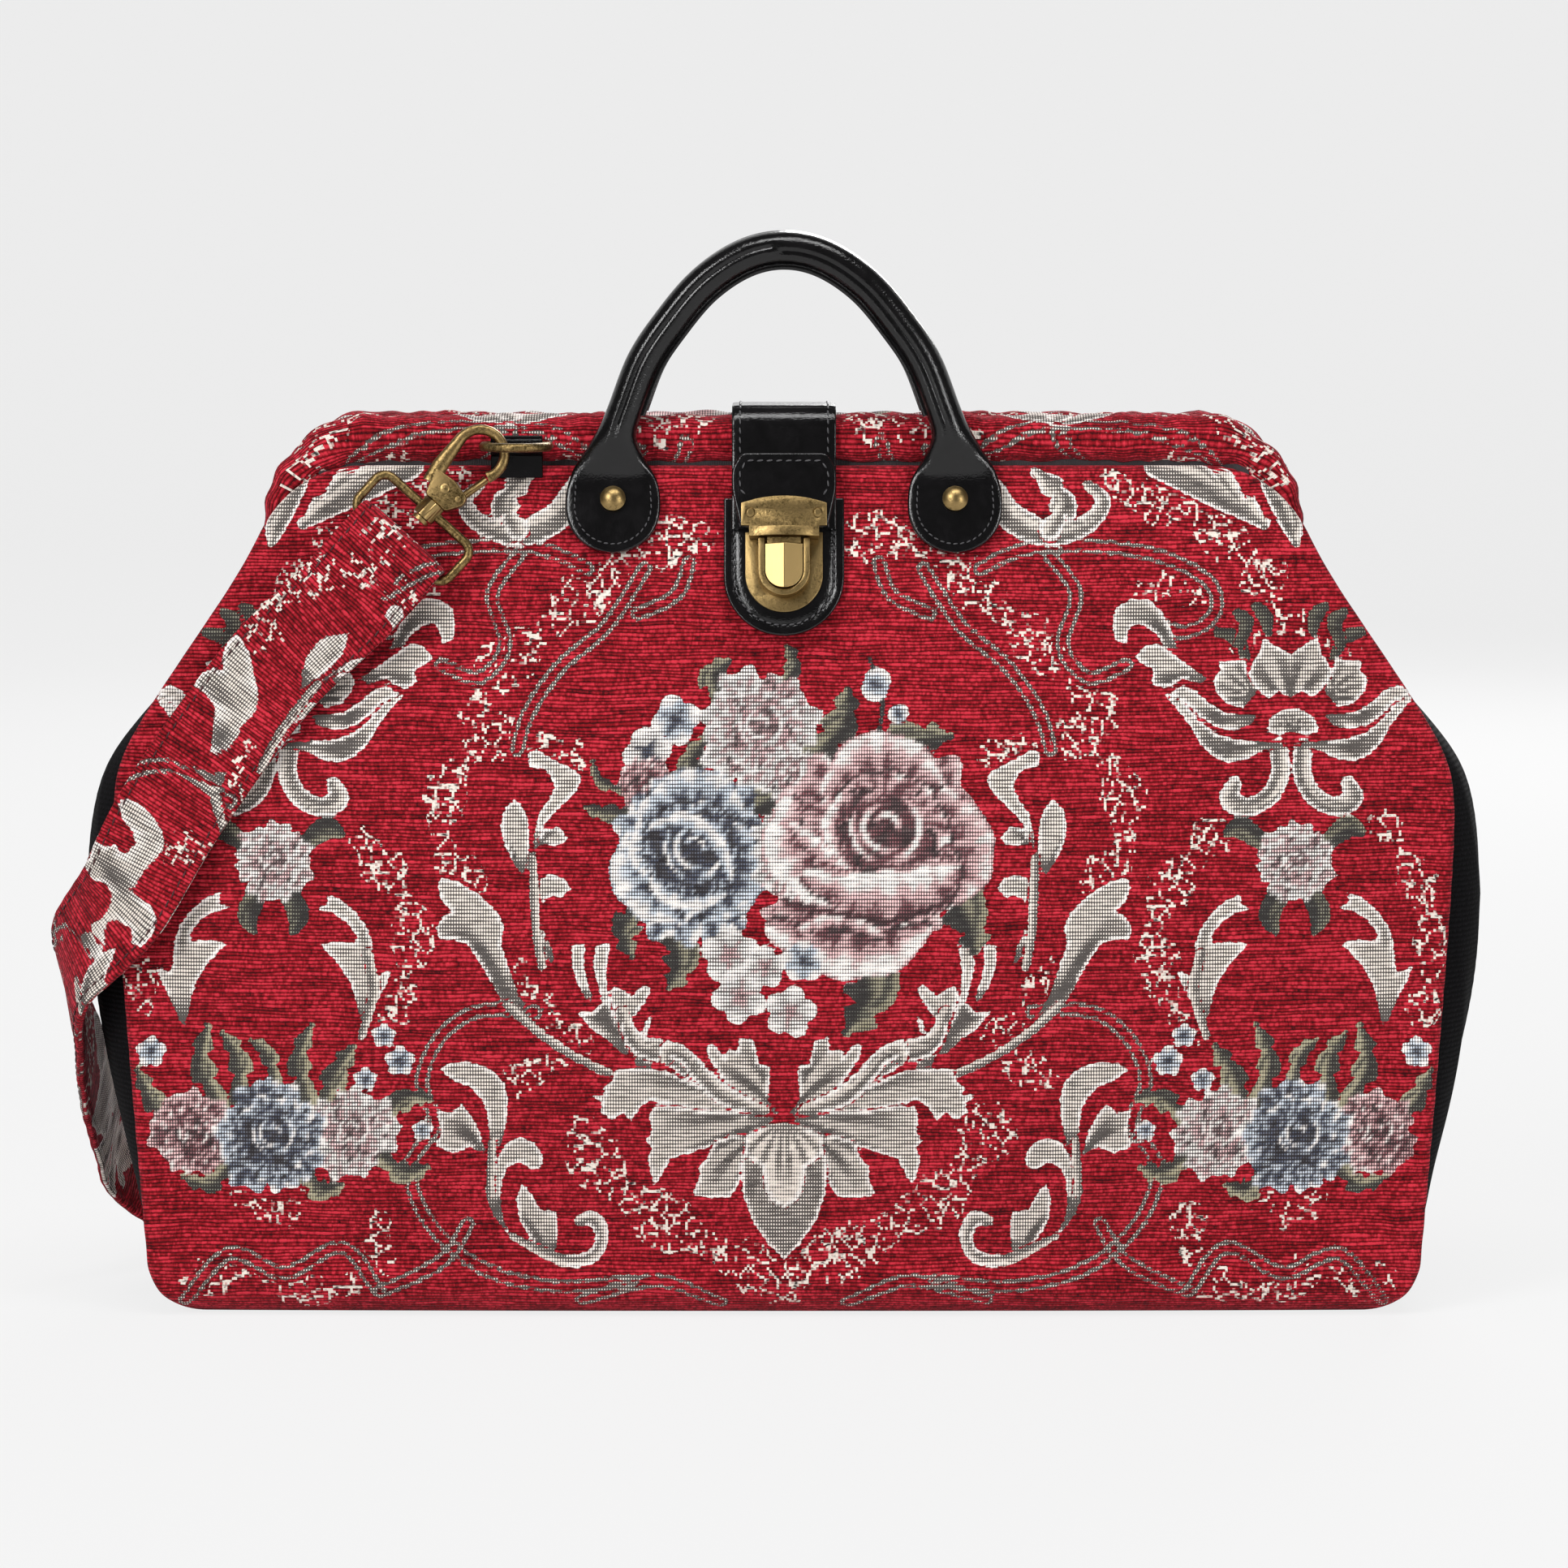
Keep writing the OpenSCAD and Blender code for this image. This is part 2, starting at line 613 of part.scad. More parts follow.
module hook() {
    foot = [eye_r * cos(leg_turn), eye_u + eye_r * sin(leg_turn)];
    at_hook() difference() {
        union() {
            translate([0, 0, eye_u]) rotate([90, 0, 0]) rotate([0, 0, -20])
                rotate_extrude(angle = leg_turn + 20) translate([eye_r, 0]) circle(r = hook_r);
            translate([eye_r * cos(20), 0, eye_u - eye_r * sin(20)]) sphere(r = hook_r + 0.35);
            translate([foot[0], 0, foot[1]]) rotate([0, 360 - leg_turn, 0]) translate([0, 0, -1])
                cylinder(h = foot[1] + 0.5, r = hook_r + 0.15);
            translate([0, 2.3, 0]) plate(4.6)
                polygon([[-7.2, 2.5], [7.2, 2.5], [7.2, 0.5], [4, -4.5], [-4, -4.5], [-7.2, 0.5]]);
            translate([0, 0, -11.2]) cylinder(h = 7, d = 3.6);
            translate([0, 0, -12.4]) cylinder(h = 1.2, d = 6);
        }
        translate([1.8, -1.3, -2]) cube([6, 2.6, 8]);
        translate([gate_at[0], 5, gate_at[1]]) rotate([90, 0, 0]) cylinder(h = 10, d = gate_d);
    }
}

module hook_gate() {
    at_hook() translate([gate_at[0], 0, gate_at[1]]) rotate([0, gate_lean, 0]) difference() {
        union() {
            translate([0, 1.1, 0]) plate(2.2) circle(d = 4.2);
            translate([0, 0, 1]) cylinder(h = gate_len - 1, d = 2.4);
        }
        translate([0, 3, 0]) plate(6) circle(d = gate_d + 2 * fit);
    }
}

module gate_pin() {
    at_hook() translate([gate_at[0], 2.9, gate_at[1]]) plate(5.8) circle(d = gate_d);
}

module strap_loop() {
    leg = loop_in + wire_d / 2;
    r = 4;
    mid_u = -7.9;
    at_hook() {
        difference() {
            union() {
                translate([0, 0, -10.8]) cylinder(h = 5.8, d = 7.4);
                translate([0, 0, mid_u]) across_x(r - leg, leg - r, wire_d);
            }
            translate([0, 0, -12]) cylinder(h = 8, d = 3.6 + 2 * fit);
        }
        translate([0, 0, loop_u]) across_x(r - leg, leg - r, wire_d);
        rotate([90, 0, 0]) for (s = [0, 1]) mirror([s, 0, 0]) {
            translate([leg - r, mid_u - r, 0]) bent(r, 0, 90);
            translate([leg - r, loop_u + r, 0]) bent(r, -90, 0);
            translate([leg, loop_u + r, 0]) rotate([-90, 0, 0])
                cylinder(h = mid_u - loop_u - 2 * r, d = wire_d);
        }
    }
}

module front_ring_loop() {
    color("#171416") turned(0) ring_loop();
}

module back_ring_loop() {
    color("#171416") turned(180) ring_loop();
}

module front_ring() {
    color("#96783c") turned(0) ring();
}

module back_ring() {
    color("#96783c") turned(180) ring();
}

module front_hook() {
    color("#a4874a") turned(0) hook();
}

module back_hook() {
    color("#a4874a") turned(180) hook();
}

module front_hook_gate() {
    color("#8a6d36") turned(0) hook_gate();
}

module back_hook_gate() {
    color("#8a6d36") turned(180) hook_gate();
}

module front_gate_pin() {
    color("#b4965a") turned(0) gate_pin();
}

module back_gate_pin() {
    color("#b4965a") turned(180) gate_pin();
}

module front_strap_loop() {
    color("#96783c") turned(0) strap_loop();
}

module back_strap_loop() {
    color("#96783c") turned(180) strap_loop();
}

// Shoulder strap from the front left hook, round the left side, behind the bag, up to the back right hook

function swing_pt(p) = let (y = p[1] + ring_y, z = p[2] - ring_z)
    [p[0], y * cos(swing) - z * sin(swing) - ring_y, y * sin(swing) + z * cos(swing) + ring_z];
function hook_pt(u, n) = swing_pt(hook_at + [u * sin(hook_turn), n, u * cos(hook_turn)]);
function hook_out(n, u) = let (d = hook_pt(u, n) - hook_pt(0, 0)) unit(d);
wrap_r = wire_d / 2 + gap + strap_t / 2;
function wrap(sign) = concat(
    [[hook_pt(loop_u - 26, strap_t / 2 + 0.25), [0, 1, 0]],
        [hook_pt(loop_u - 13, strap_t / 2 + 0.9), [0, 1, 0]]],
    [for (i = [0:6]) let (a = 30 * i)
        [hook_pt(loop_u + wrap_r * sin(a), wrap_r * cos(a)), hook_out(cos(a), sin(a))]],
    [[hook_pt(loop_u - 13, -strap_t / 2 - 0.9), [0, -1, 0]],
        [hook_pt(loop_u - 26, -strap_t / 2 - 0.25), [0, -1, 0]]]);
function over(x, z) = face_y(x, z) + strap_t / 2 + 1;
function side_x(z) = half_w(z) + gusset_bulge + strap_t / 2 + 1;
floor_z = strap_t / 2 + 0.3;
back_y = base_d / 2 + 38;
function route() = concat(wrap(1), [
    [[-0.755 * panel_w / 2, -over(160, 205) - 2, 205], [-0.05, -1, 0]],
    [[-0.84 * panel_w / 2, -over(178, 182) - 1, 182], [-0.1, -1, 0]],
    [[-0.92 * panel_w / 2, -over(195, 157) - 0.5, 157], [-0.15, -1, 0]],
    [[-0.985 * panel_w / 2, -edge_y(132) - strap_t - 0.5, 132], [-0.45, -0.9, 0]],
    [[-side_x(110) + 0.5, -0.75 * edge_y(110), 110], [-0.85, -0.5, 0]],
    [[-side_x(90) - 1, -0.25 * edge_y(90), 90], [-1, -0.15, 0]],
    [[-side_x(72) - 1, 0.2 * edge_y(72), 72], [-1, 0.1, 0]],
    [[-side_x(54), 0.65 * edge_y(54), 54], [-1, 0.2, 0]],
    [[-side_x(36) + 1, edge_y(36) + 6, 36], [-0.95, 0.3, -0.1]],
    [[-base_w / 2 - 4, back_y - 20, 18], [-0.85, 0.2, -0.35]],
    [[-base_w / 2 + 18, back_y - 8, 6.5], [-0.45, 0, -0.9]],
    [[-0.75 * base_w / 2, back_y - 2, floor_z], [0, 0, -1]],
    [[-0.5 * base_w / 2, back_y, floor_z], [0, 0, -1]],
    [[-0.2 * base_w / 2, back_y + 1, floor_z], [0, 0, -1]],
    [[0.15 * base_w / 2, back_y + 1, floor_z], [0, 0, -1]],
    [[0.45 * base_w / 2, back_y - 1, floor_z], [0.05, 0, -1]],
    [[0.67 * base_w / 2, back_y - 6, 6], [0.4, 0.1, -0.9]],
    [[0.82 * base_w / 2, back_y - 15, 21], [0.8, 0.5, -0.35]],
    [[0.88 * base_w / 2, back_y - 24, 52], [0.5, 0.87, 0]],
    [[0.87 * base_w / 2, over(174, 95) + 4, 95], [0.15, 1, 0]],
    [[0.83 * base_w / 2, over(166, 140) + 3, 140], [0.05, 1, 0]],
    [[0.79 * base_w / 2, over(158, 180) + 3, 180], [0, 1, 0]],
    [[0.74 * base_w / 2, over(148, 206) + 3.5, 206], [0, 1, 0]]],
    [for (w = wrap(1)) [[-w[0][0], -w[0][1], w[0][2]], [-w[1][0], -w[1][1], w[1][2]]]]);
front_n = len(wrap(1));
function full_route() = let (r = route(), n = len(r))
    concat([for (i = [0:n - front_n - 1]) r[i]], [for (i = [n - 1:-1:n - front_n]) r[i]]);
function ribbon_ring(p, q, i) = let (m = len(p) - 1, t = unit(p[min(m, i + 1)] - p[max(0, i - 1)]),
        w = unit(cross(q[i], t)), n = cross(t, w), a = strap_w / 2, b = strap_t / 2, c = strap_t / 4)
    [for (k = [[-a, -b + c], [-a + c, -b], [a - c, -b], [a, -b + c],
            [a, b - c], [a - c, b], [-a + c, b], [-a, b - c]])
        p[i] + w * k[0] + n * k[1]];

module shoulder_strap() {
    r = full_route();
    p = spline([for (k = r) k[0]], 2);
    q = spline([for (k = r) k[1]], 2);
    color("#a02a38") loft([for (i = [0:len(p) - 1]) ribbon_ring(p, q, i)]);
}

front_panel();
back_panel();
left_gusset();
right_gusset();
base_panel();
base_board();
lining();
laptop_divider();
left_hinge_plate();
right_hinge_plate();
hinge_pins();
front_frame_bar();
back_frame_bar();
front_casing();
back_casing();
front_handle();
back_handle();
front_handle_rivets();
back_handle_rivets();
closure_strap();
closure_tab();
strike_plate();
strike_rivets();
lock_patch();
lock_plate();
lock_housing();
lock_button();
front_ring_loop();
back_ring_loop();
front_ring();
back_ring();
front_hook();
back_hook();
front_hook_gate();
back_hook_gate();
front_gate_pin();
back_gate_pin();
front_strap_loop();
back_strap_loop();
shoulder_strap();
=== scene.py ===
import json
import math

import bpy
import numpy as np
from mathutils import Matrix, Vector


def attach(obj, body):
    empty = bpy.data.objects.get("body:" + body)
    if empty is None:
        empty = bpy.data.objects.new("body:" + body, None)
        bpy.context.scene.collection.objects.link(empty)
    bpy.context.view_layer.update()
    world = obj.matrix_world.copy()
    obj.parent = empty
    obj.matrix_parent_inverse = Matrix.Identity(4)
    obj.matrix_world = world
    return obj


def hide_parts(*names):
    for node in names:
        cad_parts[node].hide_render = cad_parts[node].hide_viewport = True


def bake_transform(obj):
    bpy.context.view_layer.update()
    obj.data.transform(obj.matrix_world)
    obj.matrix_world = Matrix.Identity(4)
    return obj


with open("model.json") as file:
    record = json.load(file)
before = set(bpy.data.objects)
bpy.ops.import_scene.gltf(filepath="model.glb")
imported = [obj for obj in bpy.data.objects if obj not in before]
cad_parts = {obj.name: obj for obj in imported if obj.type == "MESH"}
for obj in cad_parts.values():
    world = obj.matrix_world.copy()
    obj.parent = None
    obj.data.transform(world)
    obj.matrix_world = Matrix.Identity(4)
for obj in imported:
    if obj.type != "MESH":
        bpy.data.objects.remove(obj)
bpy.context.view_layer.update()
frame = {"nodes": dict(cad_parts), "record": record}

bl_info = {
    "name": "Tapestry Frame Bag",
    "version": (1, 0, 0),
    "blender": (4, 5, 0),
    "location": "View3D > Sidebar > Frame Bag",
    "description": "Dresses the packed frame bag in woven cloth, leather, stitching and antique brass",
    "category": "Object",
}

MM = 0.001

# Body, in millimetres, as the solids have it
HIP, BASE, NECK = 215.0, 200.5, 167.5
HIP_Z, NECK_Z, SEAM_Z = 174.0, 241.0, 268.0
FOOT_R, CORNER_R, SHOULDER_R = 11.0, 17.0, 34.0
PAD = 5.0
# Frame casings
CASING_Y, CASING_Z, CASING_H, CASING_D = 8.8, 276.3, 16.0, 16.6
FRAME_R, PIVOT_X, CASING_FOOT = 29.0, 160.5, 231.1
CORNER_X, CORNER_Z = PIVOT_X - FRAME_R, CASING_Z - FRAME_R
# Handles
TAB_X, TAB_W, TAB_Z = 54.0, 30.0, 241.0
HANDLE_D, HANDLE_TOP, HANDLE_Y = 11.0, 342.0, 23.2
# Closure
CLOSURE_W, LEATHER, PATCH_W = 33.0, 2.2, 38.0
LOCK_Z = 236.0
PATCH_N, STRAP_N, TAB_N = 0.4, 2.9, 5.2
TOP_Y, TOP_Z, BEND_R = 18.8, 286.0, 7.0
# Shoulder strap
STRAP_W, STRAP_T, WIRE = 34.0, 3.4, 2.9
RING = np.array([0.0, -20.5, 274.5])
HOOK = np.array([-106.5, -27.5, 259.0])
EYE_R, EYE_U = 7.8, 16
HOOK_TURN, SWING, LOOP_U = math.radians(42), math.radians(-10), -23.0


def srgb(*levels):
    """A colour given in 0 to 255 as linear light."""
    shares = (level / 255 for level in levels)
    return tuple(c / 12.92 if c <= 0.04045 else ((c + 0.055) / 1.055) ** 2.4 for c in shares)


def toned(base, share):
    """A colour made darker or lighter by a share."""
    return tuple(c * share for c in base)


def colour(name, text, r, g, b):
    return bpy.props.FloatVectorProperty(
        name=name, description=text, subtype="COLOR", size=3, min=0, max=1, default=srgb(r, g, b)
    )


def length(name, text, default, low, high):
    return bpy.props.FloatProperty(
        name=name, description=text, unit="LENGTH", precision=5, default=default, min=low, max=high
    )


class BagSizes(bpy.types.PropertyGroup):
    """Sizes of the cloth and the sewing"""

    front_step: length("Front step", "Spacing of the points on the front cloth", 0.00112, 0.001, 0.01)
    back_step: length("Back step", "Spacing of the points on the back cloth", 0.0016, 0.001, 0.01)
    trim_step: length("Trim step", "Spacing of the points on casings and strap", 0.0014, 0.001, 0.01)
    pucker: length("Pucker", "Depth of the puckers along the seams", 0.0005, 0.0, 0.002)
    crease: length("Crease", "Most that the padded cloth sinks in", 0.0028, 0.0, 0.006)
    relief: length("Relief", "How far the flat motifs lie under the pile", 0.00012, 0.0, 0.001)
    stitch_pitch: length("Stitch pitch", "Distance from stitch to stitch on leather", 0.0030, 0.001, 0.01)
    stitch_len: length("Stitch length", "Length of a stitch", 0.0022, 0.001, 0.01)
    thread: length("Thread", "Width of the thread", 0.0007, 0.0002, 0.002)
    row: length("Weft row", "Pitch of the chenille rows", 0.00115, 0.0005, 0.003)
    check: length("Check", "Pitch of the flat weave in the motifs", 0.00085, 0.0004, 0.003)
    metal_edge: length("Metal edge", "Width of the rubbed edges on the metal", 0.00022, 0.0, 0.001)


class BagColours(bpy.types.PropertyGroup):
    """Colours of the cloth, leather, metal and stage"""

    pile_dark: colour("Pile in shade", "Red pile between the rows", 50, 0, 4)
    pile: colour("Pile", "Red pile", 126, 8, 20)
    pile_light: colour("Pile in light", "Red pile on the rows", 196, 44, 60)
    thread_dark: colour("Dark thread", "Dark threads in the flat weave", 34, 29, 30)
    cream: colour("Cream", "Cream leaves, scrolls and lace", 224, 213, 202)
    white: colour("White", "White rims and highlights", 238, 231, 226)
    pink: colour("Pink", "Rose petals in light", 238, 190, 190)
    wine: colour("Wine", "Rose petals in shade", 128, 50, 62)
    blue: colour("Blue", "Blue petals in shade", 48, 66, 94)
    sky: colour("Sky", "Blue petals in light", 200, 210, 222)
    green: colour("Green", "Leaves in shade", 62, 72, 66)
    olive: colour("Olive", "Leaves in light", 164, 156, 122)
    gusset: colour("Gusset", "Black cloth of the sides", 8, 7, 9)
    lining: colour("Lining", "Plain cloth inside", 46, 42, 44)
    leather: colour("Leather", "Polished black leather", 9, 8, 9)
    sewing: colour("Sewing", "Waxed thread on the leather", 52, 51, 53)
    brass: colour("Brass", "Rubbed antique brass", 152, 128, 84)
    patina: colour("Patina", "Dark antique brass", 56, 44, 22)
    steel: colour("Steel", "Frame bars and hinges", 150, 148, 144)
    floor: colour("Floor", "Floor and backdrop", 243, 243, 243)


# Shape of the body


def soft_min(a, b, k):
    return (a + b - np.sqrt((a - b) ** 2 + k * k)) / 2


def soft_max(a, b, k):
    return (a + b + np.sqrt((a - b) ** 2 + k * k)) / 2


def corner_in(r, d):
    return np.where(d >= r, 0.0, r - np.sqrt(np.maximum(0, r * r - (r - d) ** 2)))


def half_w(z):
    lower = BASE + (HIP - BASE) * z / HIP_Z
    upper = HIP + (NECK - HIP) * (z - HIP_Z) / (NECK_Z - HIP_Z)
    plain = soft_max(soft_min(lower, upper, 10), NECK, 5)
    return plain - corner_in(CORNER_R, z) - corner_in(SHOULDER_R, SEAM_Z - z)


def mid_y(z):
    z = np.asarray(z, float)
    return 47 - 29 * (z / SEAM_Z) ** 1.8 + 12 * np.sin(np.pi * z / SEAM_Z) - corner_in(FOOT_R, z)


def edge_y(z):
    z = np.asarray(z, float)
    return 45 - 27 * (z / SEAM_Z) ** 1.8 - corner_in(FOOT_R, z)


def face_y(x, z):
    part = np.minimum(1, np.abs(x) / half_w(z))
    return edge_y(z) + (mid_y(z) - edge_y(z)) * (1 - part**2.6)


def smooth(a, lo, hi):
    t = np.clip((a - lo) / (hi - lo), 0, 1)
    return t * t * (3 - 2 * t)


def unit(v):
    return v / np.linalg.norm(v, axis=-1, keepdims=True)


def spline(points, n):
    """Smooth curve through the points, n steps from one to the next."""
    p = np.asarray(points, float)
    k = np.pad(p, ((1, 1), (0, 0)), mode="edge")
    t = (np.arange(n) / n)[:, None]
    out = [
        0.5 * (2 * b + (c - a) * t + (2 * a - 5 * b + 4 * c - d) * t**2 + (3 * b - a - 3 * c + d) * t**3)
        for a, b, c, d in zip(k[:-3], k[1:-2], k[2:-1], k[3:])
    ]
    return np.concatenate(out + [p[-1:]])


def run_of(points):
    """Distance along a row of points."""
    return np.concatenate([[0], np.cumsum(np.linalg.norm(np.diff(points, axis=0), axis=1))])


def at_run(points, run, values):
    """values, given at the points, at the distances run along them."""
    s = run_of(points)
    return np.column_stack([np.interp(run, s, v) for v in np.asarray(values, float).T])


# Materials


class Finish:
    """A material and the few kinds of node that the finishes are made of."""

    def __init__(self, name):
        self.mat = bpy.data.materials.new(name)
        self.mat.use_nodes = True
        self.tree = self.mat.node_tree
        self.skin = self.tree.nodes["Principled BSDF"]

    def put(self, socket, value):
        if isinstance(value, bpy.types.NodeSocket):
            self.tree.links.new(value, socket)
        elif value is not None:
            socket.default_value = value

    def node(self, kind, ins, out=0, **props):
        n = self.tree.nodes.new(kind)
        for key, value in props.items():
            setattr(n, key, value)
        for key, value in ins.items():
            self.put(n.inputs[key], value)
        return n.outputs[out]

    def math(self, op, a, b=0.0, c=0.0):
        return self.node("ShaderNodeMath", {0: a, 1: b, 2: c}, operation=op)

    def uv(self, x, y, z=1.0):
        at = self.node("ShaderNodeUVMap", {}, uv_map="weave")
        return self.node("ShaderNodeVectorMath", {0: at, 1: (x, y, z)}, operation="MULTIPLY")

    def parts(self, vector):
        n = self.tree.nodes.new("ShaderNodeSeparateXYZ")
        self.put(n.inputs[0], vector)
        return n.outputs[0], n.outputs[1]

    def join(self, x, y):
        return self.node("ShaderNodeCombineXYZ", {0: x, 1: y})

    def place(self, x, y, z):
        at = self.node("ShaderNodeTexCoord", {}, out=3)
        return self.node("ShaderNodeVectorMath", {0: at, 1: (x, y, z)}, operation="MULTIPLY")

    def noise(self, at, scale, detail=2.0, rough=0.5, distort=0.0):
        ins = {"Vector": at, "Scale": scale, "Detail": detail, "Roughness": rough, "Distortion": distort}
        return self.node("ShaderNodeTexNoise", ins)

    def cells(self, at, scale):
        """Distance from the walls of uneven cells."""
        return self.node("ShaderNodeTexVoronoi", {"Vector": at, "Scale": scale}, feature="DISTANCE_TO_EDGE")

    def step(self, value, lo, hi, to_lo=0.0, to_hi=1.0):
        ins = {"Value": value, "From Min": lo, "From Max": hi, "To Min": to_lo, "To Max": to_hi}
        return self.node("ShaderNodeMapRange", ins, interpolation_type="SMOOTHSTEP")

    def mix(self, fac, a, b):
        a, b = (v if isinstance(v, bpy.types.NodeSocket) else (*v, 1.0) for v in (a, b))
        return self.node("ShaderNodeMix", {0: fac, 6: a, 7: b}, out=2, data_type="RGBA")

    def mixed(self, fac, a, b):
        return self.node("ShaderNodeMix", {0: fac, 2: a, 3: b}, data_type="FLOAT")

    def field(self, name, out=2):
        return self.node("ShaderNodeAttribute", {}, out=out, attribute_name=name)

    def wave(self, value, pitch, shift=0.0):
        return self.math("SINE", self.math("MULTIPLY_ADD", value, 2 * math.pi / pitch, shift))

    def bump(self, height, strength, distance):
        ins = {"Strength": strength, "Distance": distance, "Height": height}
        self.put(self.skin.inputs["Normal"], self.node("ShaderNodeBump", ins))

    def skin_is(self, **values):
        for key, value in values.items():
            socket = self.skin.inputs[key.replace("_", " ")]
            self.put(socket, (*value, 1.0) if isinstance(value, tuple) and len(value) == 3 else value)
        return self.mat


def tapestry_finish(sizes, tint):
    """Rows of red chenille, with motifs and lace in a flat weave of coloured and dark threads."""
    f = Finish("tapestry")
    across, up = f.parts(f.uv(1, 1))
    wander = f.noise(f.uv(40, 150), 1.0, 1.0)
    line = f.math("MULTIPLY_ADD", up, 1 / sizes.row, f.math("MULTIPLY", wander, 1.8))
    row, rise = f.math("FLOOR", line), f.math("FRACT", line)
    hump = f.math("MULTIPLY", f.math("MULTIPLY", rise, f.math("SUBTRACT", 1.0, rise)), 4.0)
    tuft = f.noise(f.join(f.math("MULTIPLY", across, 620), f.math("MULTIPLY", row, 3.7)), 1.0, 2.0, 0.6)
    streak = f.noise(f.join(f.math("MULTIPLY", across, 58), f.math("MULTIPLY", row, 1.9)), 1.0, 2.0)
    fuzz = f.noise(f.uv(1500, 1900), 1.0, 2.0)
    # Colour of the pile: random tufts, streaks and fuzz, with painted light on the crest of each row (hump)
    # and painted shade between the rows
    lit = f.math("MULTIPLY_ADD", tuft, 0.85, f.math("MULTIPLY", streak, 0.7))
    lit = f.math("MULTIPLY_ADD", hump, 0.32, f.math("MULTIPLY_ADD", fuzz, 0.3, lit))
    low = f.mix(f.step(lit, 0.88, 1.14), tint.pile_dark, tint.pile)
    pile = f.mix(f.step(lit, 1.12, 1.4), low, tint.pile_light)
    # Threads of the flat weave: coloured dots that run together as the tone rises
    warp = f.math("MULTIPLY_ADD", f.wave(across, sizes.check), 0.5, 0.5)
    weft = f.math("MULTIPLY_ADD", f.wave(up, sizes.check * 1.36), 0.5, 0.5)
    dots = f.math("SQRT", f.math("MULTIPLY", warp, weft))
    strokes = f.noise(f.uv(170, 1100), 1.0, 2.0)
    tone = f.math("MULTIPLY_ADD", f.math("SUBTRACT", strokes, 0.5), 1.0, f.field("tone"))
    bare = f.math("MULTIPLY_ADD", tone, -0.9, 1.02)
    dark = f.step(f.math("SUBTRACT", bare, dots), -0.12, 0.12)
    ink = f.mix(f.math("MULTIPLY", strokes, 0.2), f.field("ink", 0), tint.white)
    flat = f.mix(f.math("MULTIPLY", dark, 0.92), ink, tint.thread_dark)
    ragged = f.noise(f.uv(420, 900), 1.0, 1.0)
    edge = f.math("MULTIPLY_ADD", f.math("SUBTRACT", ragged, 0.5), 1.5, f.field("motif"))
    inside = f.step(edge, -0.14, 0.14)
    # Lace: the walls of distorted cells, broken here and there
    net_warp, net_weft = 0.00078, 0.00086
    snap = f.node("ShaderNodeVectorMath", {0: f.uv(1, 1), 1: (net_warp, net_weft, 1.0)}, operation="SNAP")
    bent = f.node("ShaderNodeTexNoise", {"Vector": snap, "Scale": 300, "Detail": 1.0}, out=1)
    bend = f.node("ShaderNodeVectorMath", {0: bent, "Scale": 0.5}, operation="SCALE")
    cells_per_metre = (226, 238, 0)
    at = f.node("ShaderNodeVectorMath", {0: snap, 1: cells_per_metre, 2: bend}, operation="MULTIPLY_ADD")
    wall = f.cells(at, 1.0)
    broken = f.math("ADD", f.noise(snap, 320, 1.0), f.field("lace"))
    net = f.math("MULTIPLY", f.step(wall, 0.07, 0.048), f.step(broken, 0.9, 0.95))
    deep = f.math("MULTIPLY_ADD", tuft, 0.6, f.math("MULTIPLY", hump, 0.5))
    thin = f.math("MULTIPLY_ADD", dots, 0.22, 0.2)
    net_thread = f.mix(f.step(ragged, 0.3, 0.5), tint.thread_dark, tint.cream)
    flat = f.mix(net, f.mix(inside, pile, flat), net_thread)
    inside = f.math("MAXIMUM", inside, net)
    f.bump(f.mixed(inside, deep, thin), 0.8, 0.0009)
    return f.skin_is(
        Base_Color=flat, Roughness=f.mixed(inside, 0.95, 0.8), Sheen_Weight=0.08, Sheen_Roughness=0.4,
        Sheen_Tint=(1.0, 0.4, 0.5), Specular_IOR_Level=0.2,
    )


def gusset_finish(tint):
    """Black chenille with fine upright ribs."""
    f = Finish("black_chenille")
    lumps = f.noise(f.uv(700, 500), 1.0, 3.0, 0.6)
    rib_pitch = 0.0016
    ribs = f.wave(f.parts(f.uv(1, 1))[1], rib_pitch, f.math("MULTIPLY", lumps, 4.0))
    rows = f.math("MULTIPLY_ADD", ribs, 0.5, 0.5)
    high = f.math("MULTIPLY_ADD", lumps, 0.7, f.math("MULTIPLY", rows, 0.5))
    # Colour follows the height of the ribs and lumps: painted light on their crests and painted shade in the
    # hollows between them
    tone = f.mix(f.step(high, 0.3, 1.1), toned(tint.gusset, 0.35), toned(tint.gusset, 1.7))
    f.bump(high, 0.8, 0.0008)
    return f.skin_is(Base_Color=tone, Roughness=0.95, Specular_IOR_Level=0.12)


def lining_finish(tint):
    """Plain woven lining."""
    f = Finish("lining")
    at = f.place(1, 1, 1)
    fine = f.noise(at, 900, 2.0)
    weave = f.node("ShaderNodeTexWave", {"Vector": at, "Scale": 420, "Distortion": 1.5, "Detail": 1.0}, out=1)
    tone = f.mix(fine, toned(tint.lining, 0.6), toned(tint.lining, 1.5))
    f.bump(f.math("MULTIPLY_ADD", fine, 0.6, weave), 0.4, 0.0003)
    return f.skin_is(Base_Color=tone, Roughness=0.7, Specular_IOR_Level=0.3)


